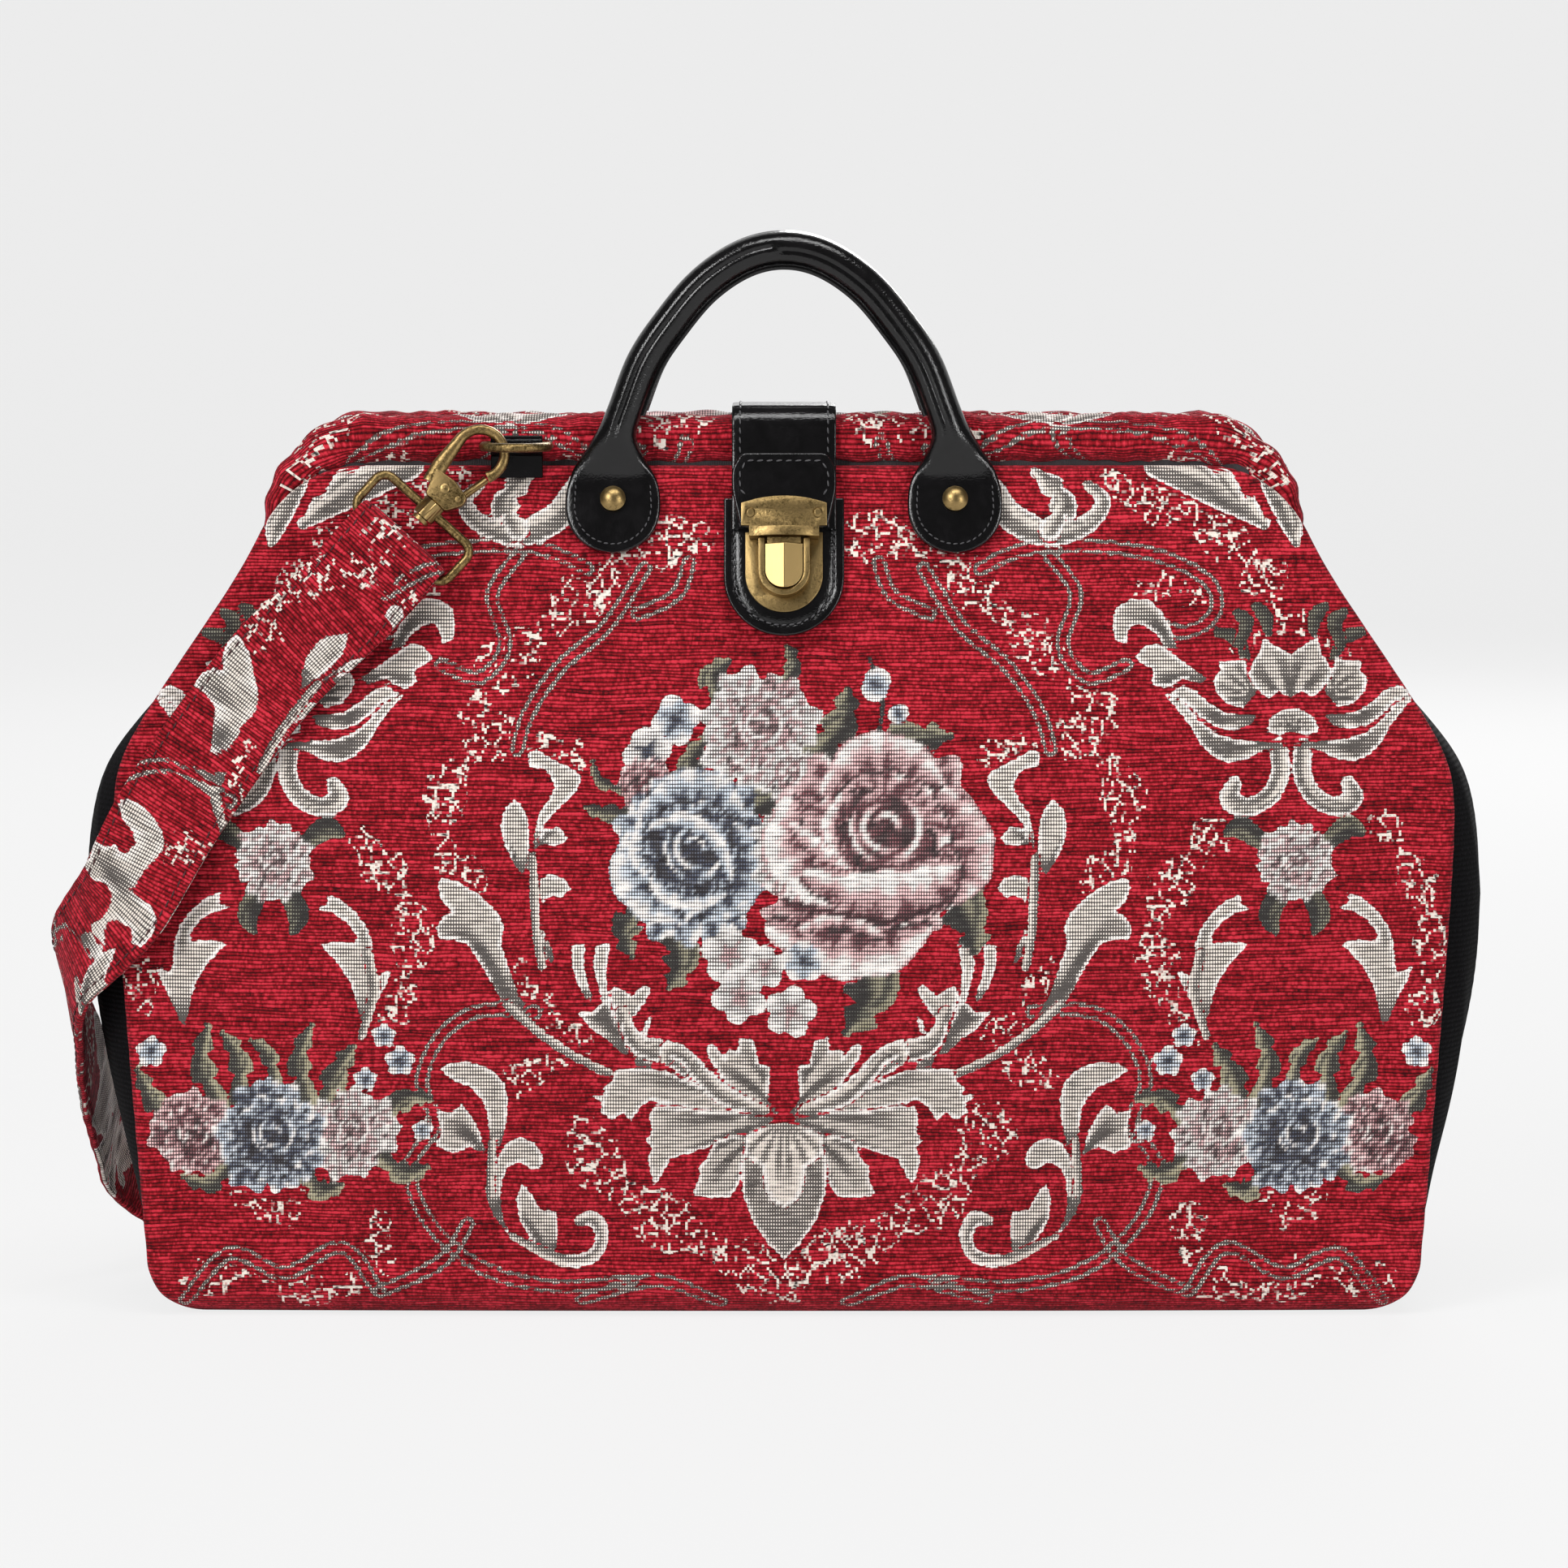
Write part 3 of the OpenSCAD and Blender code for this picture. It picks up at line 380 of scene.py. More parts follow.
def leather_finish(tint, name="leather", shine=0.42):
    """Polished black leather with a fine grain and creases."""
    f = Finish(name)
    at = f.place(1, 1, 1)
    pores = f.step(f.cells(f.place(1, 1, 1.3), 900), 0.0, 0.22)
    creases = f.noise(at, 160, 5.0, 0.62, 0.8)
    patches = f.noise(at, 45, 3.0)
    # Colour follows the crease noise, which is also the bump: painted shade in the low parts of the creases
    # and painted light on the raised parts
    tone = f.mix(f.step(creases, 0.35, 0.75), toned(tint.leather, 0.6), toned(tint.leather, 1.4))
    rough = f.math("MULTIPLY_ADD", creases, 0.13, f.math("MULTIPLY_ADD", patches, 0.1, 0.03))
    f.bump(f.math("MULTIPLY_ADD", pores, 0.2, creases), 0.17, 0.0006)
    return f.skin_is(Base_Color=tone, Roughness=rough, Specular_IOR_Level=shine)


def thread_finish(name, base):
    """Waxed thread with a twist."""
    f = Finish(name)
    twist = f.noise(f.place(1, 1, 1), 2600, 2.0)
    tone = f.mix(twist, toned(base, 0.6), toned(base, 1.9))
    f.bump(twist, 0.5, 0.0002)
    return f.skin_is(Base_Color=tone, Roughness=0.42, Specular_IOR_Level=0.5)


def brass_finish(tint, name="antique_brass", clean=0.0):
    """Antique brass, speckled dark and brighter on its edges, partly rubbed wear and partly a painted
    highlight; clean leaves fewer specks.
    """
    f = Finish(name)
    at = f.place(1, 1, 1)
    specks = f.noise(at, 1100, 4.0, 0.7, 0.6)
    rubs = f.noise(at, 120, 3.0)
    # Pointiness makes the convex edges brighter: partly rubbed wear, partly a painted highlight
    edge_wear_and_highlight = f.step(f.node("ShaderNodeNewGeometry", {}, out=7), 0.5, 0.6)
    lit = f.math("MULTIPLY_ADD", rubs, 0.45, f.math("MULTIPLY_ADD", specks, 1.1, clean))
    lit = f.math("MULTIPLY_ADD", edge_wear_and_highlight, 0.5, lit)
    tone = f.mix(f.step(lit, 0.58, 1.0), tint.patina, tint.brass)
    f.bump(specks, 0.12 if clean else 0.3, 0.0003)
    return f.skin_is(Base_Color=tone, Roughness=f.step(lit, 0.5, 1.1, 0.46, 0.33), Metallic=1.0)


def steel_finish(tint):
    """Plated steel of the frame."""
    f = Finish("steel")
    brushed = f.noise(f.place(60, 900, 900), 1.0, 3.0)
    tone = f.mix(brushed, toned(tint.steel, 0.7), tint.steel)
    f.bump(brushed, 0.1, 0.0002)
    return f.skin_is(Base_Color=tone, Roughness=f.step(brushed, 0.2, 0.8, 0.3, 0.45), Metallic=1.0)


def board_finish():
    """Pressed fibre board."""
    f = Finish("board")
    fibres = f.noise(f.place(300, 120, 300), 1.0, 5.0, 0.7)
    tone = f.mix(fibres, (0.09, 0.06, 0.035), (0.2, 0.15, 0.1))
    f.bump(fibres, 0.4, 0.0004)
    return f.skin_is(Base_Color=tone, Roughness=0.85)


FINISHES = {}


def finish(name):
    """The named material, made the first time that it is asked for."""
    if name not in FINISHES:
        sizes, tint = bpy.context.scene.bag_sizes, bpy.context.scene.bag_colours
        makers = {
            "tapestry": lambda: tapestry_finish(sizes, tint),
            "black_chenille": lambda: gusset_finish(tint),
            "lining": lambda: lining_finish(tint),
            "leather": lambda: leather_finish(tint),
            # A copy of the leather that reflects less: painted shade for the ring loops, which lie in the
            # shadow of the rings and hooks
            "painted_shade_leather": lambda: leather_finish(tint, "painted_shade_leather", 0.1),
            "thread": lambda: thread_finish("thread", tint.sewing),
            "red_thread": lambda: thread_finish("red_thread", tint.pile_dark),
            "antique_brass": lambda: brass_finish(tint),
            "rubbed_brass": lambda: brass_finish(tint, "rubbed_brass", 0.2),
            "steel": lambda: steel_finish(tint),
            "board": board_finish,
        }
        FINISHES[name] = makers[name]()
    return FINISHES[name]


# Meshes


def clear():
    if bpy.context.object and bpy.context.object.mode != "OBJECT":
        bpy.ops.object.mode_set(mode="OBJECT")
    bpy.ops.object.select_all(action="DESELECT")


def take(obj):
    clear()
    bpy.context.view_layer.objects.active = obj
    obj.select_set(True)


def points_of(mesh):
    co = np.empty(len(mesh.vertices) * 3)
    mesh.vertices.foreach_get("co", co)
    return co.reshape(-1, 3)


def set_points(mesh, co):
    mesh.vertices.foreach_set("co", np.ascontiguousarray(co, float).ravel())
    mesh.update()


def set_weave(mesh, uv):
    """Cloth coordinates in metres, one for each point, on the weave map."""
    corner = np.empty(len(mesh.loops), int)
    mesh.loops.foreach_get("vertex_index", corner)
    layer = mesh.uv_layers.active or mesh.uv_layers.new()
    layer.name = "weave"
    layer.uv.foreach_set("vector", np.ascontiguousarray(uv[corner], np.float32).ravel())


def grid(name, nu, nv, place):
    """A grid primitive moved to place(u, v): points in millimetres and cloth coordinates in millimetres."""
    clear()
    bpy.ops.mesh.primitive_grid_add(x_subdivisions=nu, y_subdivisions=nv, size=2)
    obj = bpy.context.object
    obj.name = obj.data.name = name
    flat = points_of(obj.data)
    co, weave = place((flat[:, 0] + 1) / 2, (flat[:, 1] + 1) / 2)
    set_points(obj.data, co * MM)
    set_weave(obj.data, weave * MM)
    return obj


FACE_OUT = (bpy.ops.mesh.normals_make_consistent, {"inside": False})


def edit(obj, *steps):
    """Runs mesh operators, each with its settings, on the whole of a piece."""
    take(obj)
    bpy.ops.object.mode_set(mode="EDIT")
    for operator, settings in steps:
        bpy.ops.mesh.select_all(action="SELECT")
        operator(**settings)
    bpy.ops.object.mode_set(mode="OBJECT")


def close(obj):
    """Joins the edges of a grid that meet, fills its open ends and turns its faces outwards."""
    merge = (bpy.ops.mesh.remove_doubles, {"threshold": 1e-6})
    edit(obj, merge, (bpy.ops.mesh.fill_holes, {"sides": 0}), FACE_OUT)


def finish_mesh(obj, slot, angle=50, material=None):
    take(obj)
    bpy.ops.object.shade_smooth_by_angle(angle=math.radians(angle))
    obj.data.materials.clear()
    obj.data.materials.append(finish(material or slot))
    return obj


def apply_all(obj):
    take(obj)
    for mod in list(obj.modifiers):
        bpy.ops.object.modifier_apply(modifier=mod.name)


def swell(v, power):
    return np.sign(v) * np.abs(v) ** power


def loft(name, centre, side, out, half_side, half_out, power, sides):
    """A closed tube along rows of stations: centre, two cross directions, half sizes and roundness."""
    run = run_of(centre)
    rows = len(centre)

    def place(u, v):
        i = np.clip(np.rint(u * (rows - 1)).astype(int), 0, rows - 1)
        a = 2 * np.pi * v - np.pi
        p = power[i]
        off_side = half_side[i] * swell(np.cos(a), p)
        off_out = half_out[i] * swell(np.sin(a), p)
        co = centre[i] + side[i] * off_side[:, None] + out[i] * off_out[:, None]
        round_it = np.pi * (half_side[i] + half_out[i])
        return co, np.column_stack([run[i], v * round_it])

    obj = grid(name, rows - 1, sides, place)
    close(obj)
    return obj


def turn_half(obj):
    """Turns a piece half round the upright axis, from the front half of the bag to the back."""
    co = points_of(obj.data)
    co[:, :2] *= -1
    set_points(obj.data, co)


def back_copy(obj, name):
    """A copy for the back half of the bag."""
    copy = obj.copy()
    copy.data = obj.data.copy()
    copy.name = copy.data.name = name
    bpy.context.collection.objects.link(copy)
    turn_half(copy)
    return copy


def tube(name, centre, radii, side):
    """A round bar through the points with a radius at each."""
    centre = np.array(centre)
    axis = unit(centre[-1] - centre[0])
    side = np.tile(unit(side - axis * (side @ axis)), (len(centre), 1))
    r = np.asarray(radii, float)
    return loft(name, centre, side, np.cross(axis, side), r, r, np.ones(len(r)), 20)


def joined(name, objs):
    """Several pieces as one."""
    take(objs[0])
    for obj in objs[1:]:
        obj.select_set(True)
    bpy.ops.object.join()
    objs[0].name = objs[0].data.name = name
    return objs[0]


def stitches(name, runs, sizes, pitch=None, long=None, thick=None, lift=0.1):
    """Small stitches along rows of points; each run gives points and outward directions in millimetres."""
    pitch = (pitch or sizes.stitch_pitch) / MM
    long = (long or sizes.stitch_len) / MM
    thick = (thick or sizes.thread) / MM
    clear()
    bpy.ops.mesh.primitive_uv_sphere_add(segments=6, ring_count=4, radius=1)
    pattern = bpy.context.object
    bead = points_of(pattern.data)[:, [2, 0, 1]] * (long / 2, thick / 2, thick / 2)
    faces = [list(p.vertices) for p in pattern.data.polygons]
    bpy.data.objects.remove(pattern)
    co, poly = [], []
    for points, out in runs:
        s = run_of(points)
        count = max(1, int(s[-1] / pitch))
        at = (np.arange(count) + 0.5) * s[-1] / count
        mid = at_run(points, at, points)
        ahead = at_run(points, np.minimum(at + 0.4, s[-1]), points)
        behind = at_run(points, np.maximum(at - 0.4, 0), points)
        along = unit(ahead - behind)
        up = unit(at_run(points, at, out))
        cross = np.cross(up, along)
        along = unit(along + 0.14 * cross)
        cross = np.cross(up, along)
        for m, a, c, n in zip(mid, along, cross, up):
            base = len(co) * len(bead)
            co.append(m + lift * n + bead @ np.array([a, c, n]))
            poly += [[base + i for i in f] for f in faces]
    mesh = bpy.data.meshes.new(name)
    mesh.from_pydata((np.concatenate(co) * MM).tolist(), [], poly)
    obj = bpy.data.objects.new(name, mesh)
    bpy.context.collection.objects.link(obj)
    edit(obj, FACE_OUT)
    return finish_mesh(obj, "leather", 180, "thread")


def body_of(node):
    for name, nodes in frame["record"]["behaviour"]["bodies"].items():
        if node in nodes:
            return name
    raise RuntimeError(f"no body holds {node}")


def solid_copy(node, slot, edge, angle=32, smooth_at=40, material=None):
    """A merged copy of a solid with narrow rounded edges, which stands for it."""
    source = frame["nodes"][node]
    obj = source.copy()
    obj.data = source.data.copy()
    obj.parent = None
    obj.name = obj.data.name = node + "_dressed"
    bpy.context.collection.objects.link(obj)
    obj.matrix_world.identity()
    merge = (bpy.ops.mesh.remove_doubles, {"threshold": 2e-6})
    edit(obj, merge, (bpy.ops.mesh.dissolve_limited, {"angle_limit": math.radians(2)}))
    if edge:
        mod = obj.modifiers.new("edges", "BEVEL")
        mod.width, mod.segments, mod.limit_method = edge, 2, "ANGLE"
        mod.angle_limit = math.radians(angle)
        mod.use_clamp_overlap = True
        apply_all(obj)
    finish_mesh(obj, slot, smooth_at, material)
    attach(obj, body_of(node))
    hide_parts(node)
    return obj


# The woven ornament


LEAF_TONE = (0.86, 0.28)


class Tapestry:
    """Roses, leaves, scrolls and lace on the points of a cloth, x across and z up in millimetres."""

    def __init__(self, x, z, tint):
        self.x, self.z = x, z
        self.tint = {k: np.array(getattr(tint, k)) for k in tint.__annotations__}
        self.depth = np.full(len(x), -9.0)
        self.tone = np.full(len(x), 0.5)
        self.net = np.zeros(len(x))
        self.ink = np.tile(self.tint["cream"], (len(x), 1))

    def near(self, low, high, margin=5.0):
        x, z = self.x, self.z
        return np.flatnonzero(
            (x > low[0] - margin) & (x < high[0] + margin) & (z > low[1] - margin) & (z < high[1] + margin)
        )

    def lay(self, at, depth, tone, ink, cut=0.0):
        """Weaves a motif over what is there; cut leaves a line of pile round it."""
        old = self.depth[at]
        if cut:
            old = np.where(depth < 0, np.minimum(old, -depth - cut), old)
        over = (depth > 0) | (depth > old)
        self.depth[at] = np.maximum(old, depth)
        self.tone[at[over]] = np.broadcast_to(tone, depth.shape)[over]
        self.ink[at[over]] = np.broadcast_to(ink, (len(at), 3))[over]

    def trace(self, points, widths):
        """Inside depth, side and share of the way of the points near a stroke."""
        line = spline(np.column_stack([np.asarray(points, float), widths]), 8)
        p, q = line[:-1], line[1:]
        wide = max(widths)
        at = self.near(line[:, :2].min(0) - wide, line[:, :2].max(0) + wide)
        d = q[:, :2] - p[:, :2]
        rel = np.stack([self.x[at], self.z[at]], 1)[:, None] - p[None, :, :2]
        t = np.clip((rel * d).sum(2) / ((d**2).sum(1) + 1e-9), 0, 1)
        off = rel - t[..., None] * d
        dist = np.hypot(off[..., 0], off[..., 1])
        half = p[:, 2] + t * (q[:, 2] - p[:, 2])
        best = np.argmax(half - dist, 1)
        i = np.arange(len(at))
        side = d[best, 0] * rel[i, best, 1] - d[best, 1] * rel[i, best, 0]
        return at, dist[i, best], half[i, best], np.sign(side), (best + t[i, best]) / len(p)

    def leaf(self, points, widths, light="cream", dark="cream", tone=LEAF_TONE, teeth=0, side=0, cut=0.7):
        """A tapered leaf or scroll; teeth notch one side of it, or both where side is 0."""
        at, dist, half, lean, way = self.trace(points, widths)
        if teeth:
            notch = ((way * teeth) % 1) ** 1.6
            half = half * np.where((lean == side) | (side == 0), 1.06 - 0.66 * notch, 1.0)
        depth = half - dist
        across = np.clip(lean * dist / np.maximum(half, 0.5), -1, 1)
        shade = tone[1] + (tone[0] - tone[1]) * smooth(across, -0.35, 0.3)
        veins = smooth(np.sin(across * 7 + way * 9), 0.2, 0.9) * np.sin(np.pi * np.clip(way, 0, 1))
        shade = shade * (1 - 0.55 * veins * (half > 2.4))
        self.rimmed(at, depth, shade, light, dark, half > 2.0, cut)

    def rimmed(self, at, depth, shade, light, dark, where, cut):
        """Weaves a leaf from its shade, with a white rim to the cream ones."""
        ink = self.tint[dark] + (self.tint[light] - self.tint[dark]) * shade[:, None]
        if light == "cream":
            rim = (1 - smooth(depth, 0.6, 1.3)) * where
            shade = np.maximum(shade, 0.98 * rim)
            ink = ink + (self.tint["white"] - ink) * rim[:, None]
        self.lay(at, depth, shade, ink, cut)

    def blade(self, points, base, tone=(0.68, 0.02), rays=17.0, cut=0.6):
        """A broad cream leaf inside a closed outline, with dark rays from its base."""
        p = np.asarray(points, float)
        d = np.roll(p, -1, 0) - p
        at = self.near(p.min(0), p.max(0))
        rel = np.stack([self.x[at], self.z[at]], 1)[:, None] - p[None]
        share = np.clip((rel * d).sum(2) / (d**2).sum(1), 0, 1)
        dist = np.linalg.norm(rel - share[..., None] * d, axis=2).min(1)
        slope = d[:, 0] / np.where(d[:, 1] == 0, 1e-9, d[:, 1])
        crossed = ((rel[..., 1] < 0) != (rel[..., 1] < d[:, 1])) & (rel[..., 0] < slope * rel[..., 1])
        depth = np.where(crossed.sum(1) % 2, dist, -dist)
        out = np.stack([self.x[at], self.z[at]], 1) - base
        r = np.hypot(*out.T) / np.hypot(*(p - base).T).max()
        a = np.arctan2(out[:, 1], np.abs(out[:, 0]))
        dark = smooth(np.sin(a * rays + 3 * r), -0.2, 0.6) * (1 - smooth(r, 0.4, 0.9))
        dark = np.maximum(dark, 1 - smooth(r, 0.05, 0.3))
        self.rimmed(at, depth, tone[0] - (tone[0] - tone[1]) * dark, "cream", "cream", r > 0.25, cut)

    def cord(self, points, width=0.8, tone=0.42, ink="cream", gap=0.0):
        """A thin woven line, or two side by side where gap is given."""
        at, dist, _, _, _ = self.trace(points, [width + gap] * len(points))
        self.lay(at, width - np.abs(dist - gap / 2) if gap else width - dist, tone, self.tint[ink])

    def shaded(self, at, tone, light, dark):
        """Threads of four colours, near black to white, in steps that are uneven as in weaving."""
        d, l, w = self.tint[dark], self.tint[light], self.tint["white"]
        uneven = np.sin(self.x[at] * 12.99 + self.z[at] * 78.23) * 43758.5 % 1 - 0.5
        tone = (tone + 0.2 * uneven)[:, None]
        ink = d * (0.3 + 0.7 * smooth(tone, 0.05, 0.16))
        ink = ink + (l - ink) * smooth(tone, 0.27, 0.4)
        return ink + (w - ink) * smooth(tone, 0.6, 0.84)

    def rose(self, cx, cz, r, light, dark, seed=1, flat=1.0):
        """Two rings of uneven petals with pale rims round a rolled heart."""
        rng = np.random.default_rng(seed)
        for count, reach, size in ((7, 0.62, 0.46), (5, 0.4, 0.42)):
            first = rng.uniform(0, 6.28)
            for k in range(count):
                a = first + 2 * math.pi * (k + rng.uniform(-0.2, 0.2)) / count
                rp = size * r * rng.uniform(0.85, 1.12)
                px, pz = cx + reach * r * math.cos(a), cz + flat * reach * r * math.sin(a)
                at = self.near((px - rp, pz - rp), (px + rp, pz + rp), 3)
                dx, dz = self.x[at] - px, (self.z[at] - pz) / flat
                turn = np.arctan2(dz, dx)
                out = (dx * math.cos(a) + dz * math.sin(a)) / rp
                q = np.hypot(dx, dz) / rp * (1 + 0.15 * np.sin(6 * turn + 3 * k))
                uneven = 0.55 + 0.45 * np.sin(7 * turn + 2 * k)
                rim = smooth(q, 0.66, 0.88) * smooth(out, 0.0, 0.5) * uneven
                tucked = (1 - smooth(1 - q, 0.02, 0.12)) * (out < 0.2)
                tone = 0.02 + 0.42 * smooth(out, -0.8, 0.6) * rng.uniform(0.5, 1.0)
                tone = tone + rng.uniform(0.3, 0.75) * rim + 0.14 * np.sin(9 * turn) - 0.6 * tucked
                self.lay(at, (1 - q) * rp, 0.36 + 0.6 * tone, self.shaded(at, tone, light, dark))
        hx, hz, rh = cx + 0.06 * r, cz + 0.1 * r, 0.42 * r
        at = self.near((hx - rh, hz - rh), (hx + rh, hz + rh), 3)
        dx, dz = self.x[at] - hx, (self.z[at] - hz) / flat
        q, a = np.hypot(dx, dz) / rh, np.arctan2(dz, dx)
        tone = 0.06 + 0.26 * smooth(q, 0.5, 1.0) + 0.12 * np.sin(4 * a)
        for ring, first, last in ((0.3, -0.4, 2.9), (0.58, 1.9, 5.2), (0.86, -1.6, 1.2), (0.92, 2.6, 4.4)):
            turned = (a - first) % (2 * math.pi)
            arc = (turned < last - first) * np.sin(np.pi * np.clip(turned / (last - first), 0, 1)) ** 0.5
            off = np.abs(q - ring + 0.05 * np.cos(a))
            tone = np.maximum(tone, 0.95 * arc * (1 - smooth(off, 0.05, 0.13)))
        self.lay(at, (1 - q) * rh, 0.36 + 0.6 * tone, self.shaded(at, tone, light, dark))

    def petal(self, points, widths, light, dark, tone):
        """A curved petal with one pale side."""
        at, dist, half, lean, way = self.trace(points, widths)
        half = half * (1 + 0.07 * np.sin(17 * way + 1) + 0.05 * np.sin(29 * way))
        across = np.clip(lean * dist / np.maximum(half, 0.5), -1, 1)
        shade = tone[1] + (tone[0] - tone[1]) * smooth(across, -0.7, 0.8)
        shade = shade + 0.1 * np.sin(31 * way) + 0.08 * np.sin(53 * way + 2)
        shade = shade - 0.4 * (1 - smooth(half - dist, 0.2, 1.0))
        self.lay(at, half - dist, 0.34 + 0.64 * shade, self.shaded(at, shade, light, dark))

    def bloom(self, cx, cz, r, light, dark, petals=5, turn=0.3):
        """A small open flower."""
        at = self.near((cx - r, cz - r), (cx + r, cz + r), 3)
        dx, dz = self.x[at] - cx, self.z[at] - cz
        q, a = np.hypot(dx, dz) / r, np.arctan2(dz, dx)
        edge = 0.72 + 0.28 * np.abs(np.cos(petals * (a - turn) / 2))
        tone = np.clip(0.1 + 1.1 * q, 0, 1) * (0.5 + 0.5 * np.abs(np.cos(petals * (a - turn) / 2)))
        self.lay(at, (edge - q) * r, 0.3 + 0.65 * tone, self.shaded(at, tone, light, dark))

    def lace(self, points, spread):
        """Band along a line in which the net shows."""
        at, dist, _, _, way = self.trace(points, [spread] * len(points))
        band = spread * (0.9 + 0.24 * np.sin(way * 19 + points[0][0])) - dist
        self.net[at] = np.maximum(self.net[at], smooth(band, -1.0, 3.0))

    def both(self, draw, points, *args, **keys):
        """Draws a motif and its mirror image on the other half."""
        draw(points, *args, **keys)
        if "side" in keys:
            keys["side"] = -keys["side"]
        if "tone" in keys and isinstance(keys["tone"], tuple):
            keys["tone"] = keys["tone"][::-1]
        elif draw == self.leaf:
            keys["tone"] = LEAF_TONE[::-1]
        if draw == self.blade:
            args = ((-args[0][0], args[0][1]), *args[1:])
        draw([(-x, z) for x, z in points], *args, **keys)

    def pair(self, axis, base, line, **keys):
        """A blade and its mirror image about an upright axis, on both halves."""
        self.both(self.blade, line, base, **keys)
        turned = [(2 * axis - x, z) for x, z in line]
        self.both(self.blade, turned, (2 * axis - base[0], base[1]), **keys)


def weave_lace(t):
    """Bands of lace net."""
    for spread, line in (
        (9, [(26, 246), (44, 242), (60, 230), (74, 218), (88, 206), (98, 192)]),
        (8, [(66, 178), (86, 184), (100, 178), (107, 164), (106, 148), (98, 138)]),
        (9, [(104, 262), (126, 254), (144, 242), (154, 230)]),
        (8, [(134, 152), (124, 140), (117, 124), (120, 104), (128, 94)]),
        (7, [(190, 154), (200, 138), (205, 118), (202, 98)]),
        (10, [(64, 60), (54, 44), (36, 30), (12, 18), (0, 12)]),
        (8, [(128, 30), (132, 14), (150, 8), (170, 16), (188, 10)]),
        (6, [(150, 40), (160, 32), (170, 38)]),
        (7, [(86, 112), (76, 98), (66, 88), (84, 76)]),
        (7, [(146, 214), (160, 222), (176, 210)]),
        (6, [(112, 226), (122, 232), (132, 226)]),
    ):
        t.both(t.lace, line, spread)


def weave_outlines(t):
    """Thin double lines round the scrolls."""
    for line in (
        [(62, 236), (76, 242), (96, 243), (118, 240), (134, 232), (136, 222), (126, 216), (114, 222)],
        [(84, 240), (92, 228), (88, 212), (96, 202), (108, 206)],
        [(44, 236), (56, 218), (70, 206), (80, 192), (84, 180)],
        [(78, 98), (96, 98), (108, 90), (114, 76), (110, 62), (118, 48), (112, 30), (96, 16), (72, 10),
         (48, 12)],
        [(128, 8), (108, 18), (100, 30)],
        [(20, 4), (40, 12), (64, 5)],
        [(190, 4), (176, 20), (158, 14), (140, 22), (128, 8)],
        [(30, 238), (34, 228), (46, 222)],
    ):
        t.both(t.cord, line, 0.62, 0.3, "cream", 3.4)


def weave_shoulders(t):
    """Upper scrolls and shoulder leaves, with the scroll beside the lotus."""
    t.both(t.leaf, [(66, 262), (72, 252), (84, 247), (96, 250), (101, 257), (96, 262)],
           [3, 4.5, 4, 3, 2.5, 1.5])
    t.both(t.leaf, [(84, 248), (88, 257), (80, 266)], [3, 5, 2], teeth=3)
    t.both(t.leaf, [(118, 268), (136, 262), (152, 250)], [4, 6.5, 2], teeth=4, side=1)
    t.both(t.leaf, [(154, 262), (160, 252), (162, 244)], [3, 4, 1.5])
    for base, line in (
        ((124, 209), [(124.5, 210.5), (122, 217), (119, 223), (115, 226.5), (109, 226.5), (104.5, 223.5),
                      (103.8, 218), (104.5, 213.5), (108, 212.5), (108.5, 216), (110, 218.5), (113, 218.5),
                      (117, 216), (120.5, 211.5)]),
        ((134, 201), [(110.5, 208), (114, 212), (118, 212.5), (123, 209), (128, 205.5), (134, 201.5),
                      (131, 200), (126, 201.5), (120, 198.5), (116, 200), (116.5, 204.5), (113.5, 206)]),
    ):
        t.both(t.blade, line, base, rays=7.0)


def weave_lotus(t):
    """Lotus palmette of each side."""
    for s in (-1, 1):
        t.both(t.leaf, [(160 + s * 4, 180), (160 + s * 3.5, 172), (160 + s * 7, 165), (160 + s * 14, 161.5),
                        (160 + s * 19.5, 164), (160 + s * 18, 169)], [3, 3, 3, 3, 3.4, 2.2])
        for pts in (
            [(14, 208), (17, 214), (23, 216)],
            [(7, 216), (8, 221), (11, 224)],
            [(16, 212), (14, 219), (17, 222)],
        ):
            line = [(160 + s * x, z) for x, z in pts]
            t.both(t.leaf, line, [1.4, 2.4, 1.5], "olive", "green", tone=(0.4, 0.2))
    t.pair(160, (159, 181), [
        (120, 196.5), (124, 198), (127, 193), (131, 188.5), (136, 184.5), (142, 182.5), (150, 182),
        (159, 181), (151, 179), (146, 176.5), (140, 175.5), (135, 177.5), (131, 181.5), (128, 187),
        (124, 192)], rays=6.0)
    t.pair(160, (150, 189), [
        (121, 197), (126, 199.5), (130, 197.5), (134, 194), (139, 191), (144, 190.3), (149.3, 190),
        (147, 186.8), (141.5, 185.5), (136, 186.5), (131, 190), (127, 194)], rays=6.0)
    t.pair(160, (149, 195), [
        (149, 197), (145, 192.5), (140, 193.5), (136.5, 197), (135.5, 201), (138, 204.5), (137, 207),
        (142, 207), (145.5, 207.5), (146.5, 203.5), (149, 201)])
    t.both(t.blade, [
        (146.5, 203), (148.5, 207), (150, 209), (151.5, 214.5), (154.5, 212), (157.5, 210.5), (160, 209),
        (163, 211), (166, 213), (168.5, 214.5), (170, 209), (171.5, 207), (173.5, 203), (170, 198),
        (167, 195.5), (164, 197.5), (160, 195.5), (156, 197.5), (153, 195), (150, 197.5),
    ], (160, 190), rays=13.0)
    t.both(t.blade, [(152, 185), (153.5, 189), (157, 191.5), (160.5, 192), (164, 191.5), (167.5, 189),
                     (169, 185), (165, 184), (160.5, 185), (156, 184)], (160.5, 184), (0.6, 0.1))


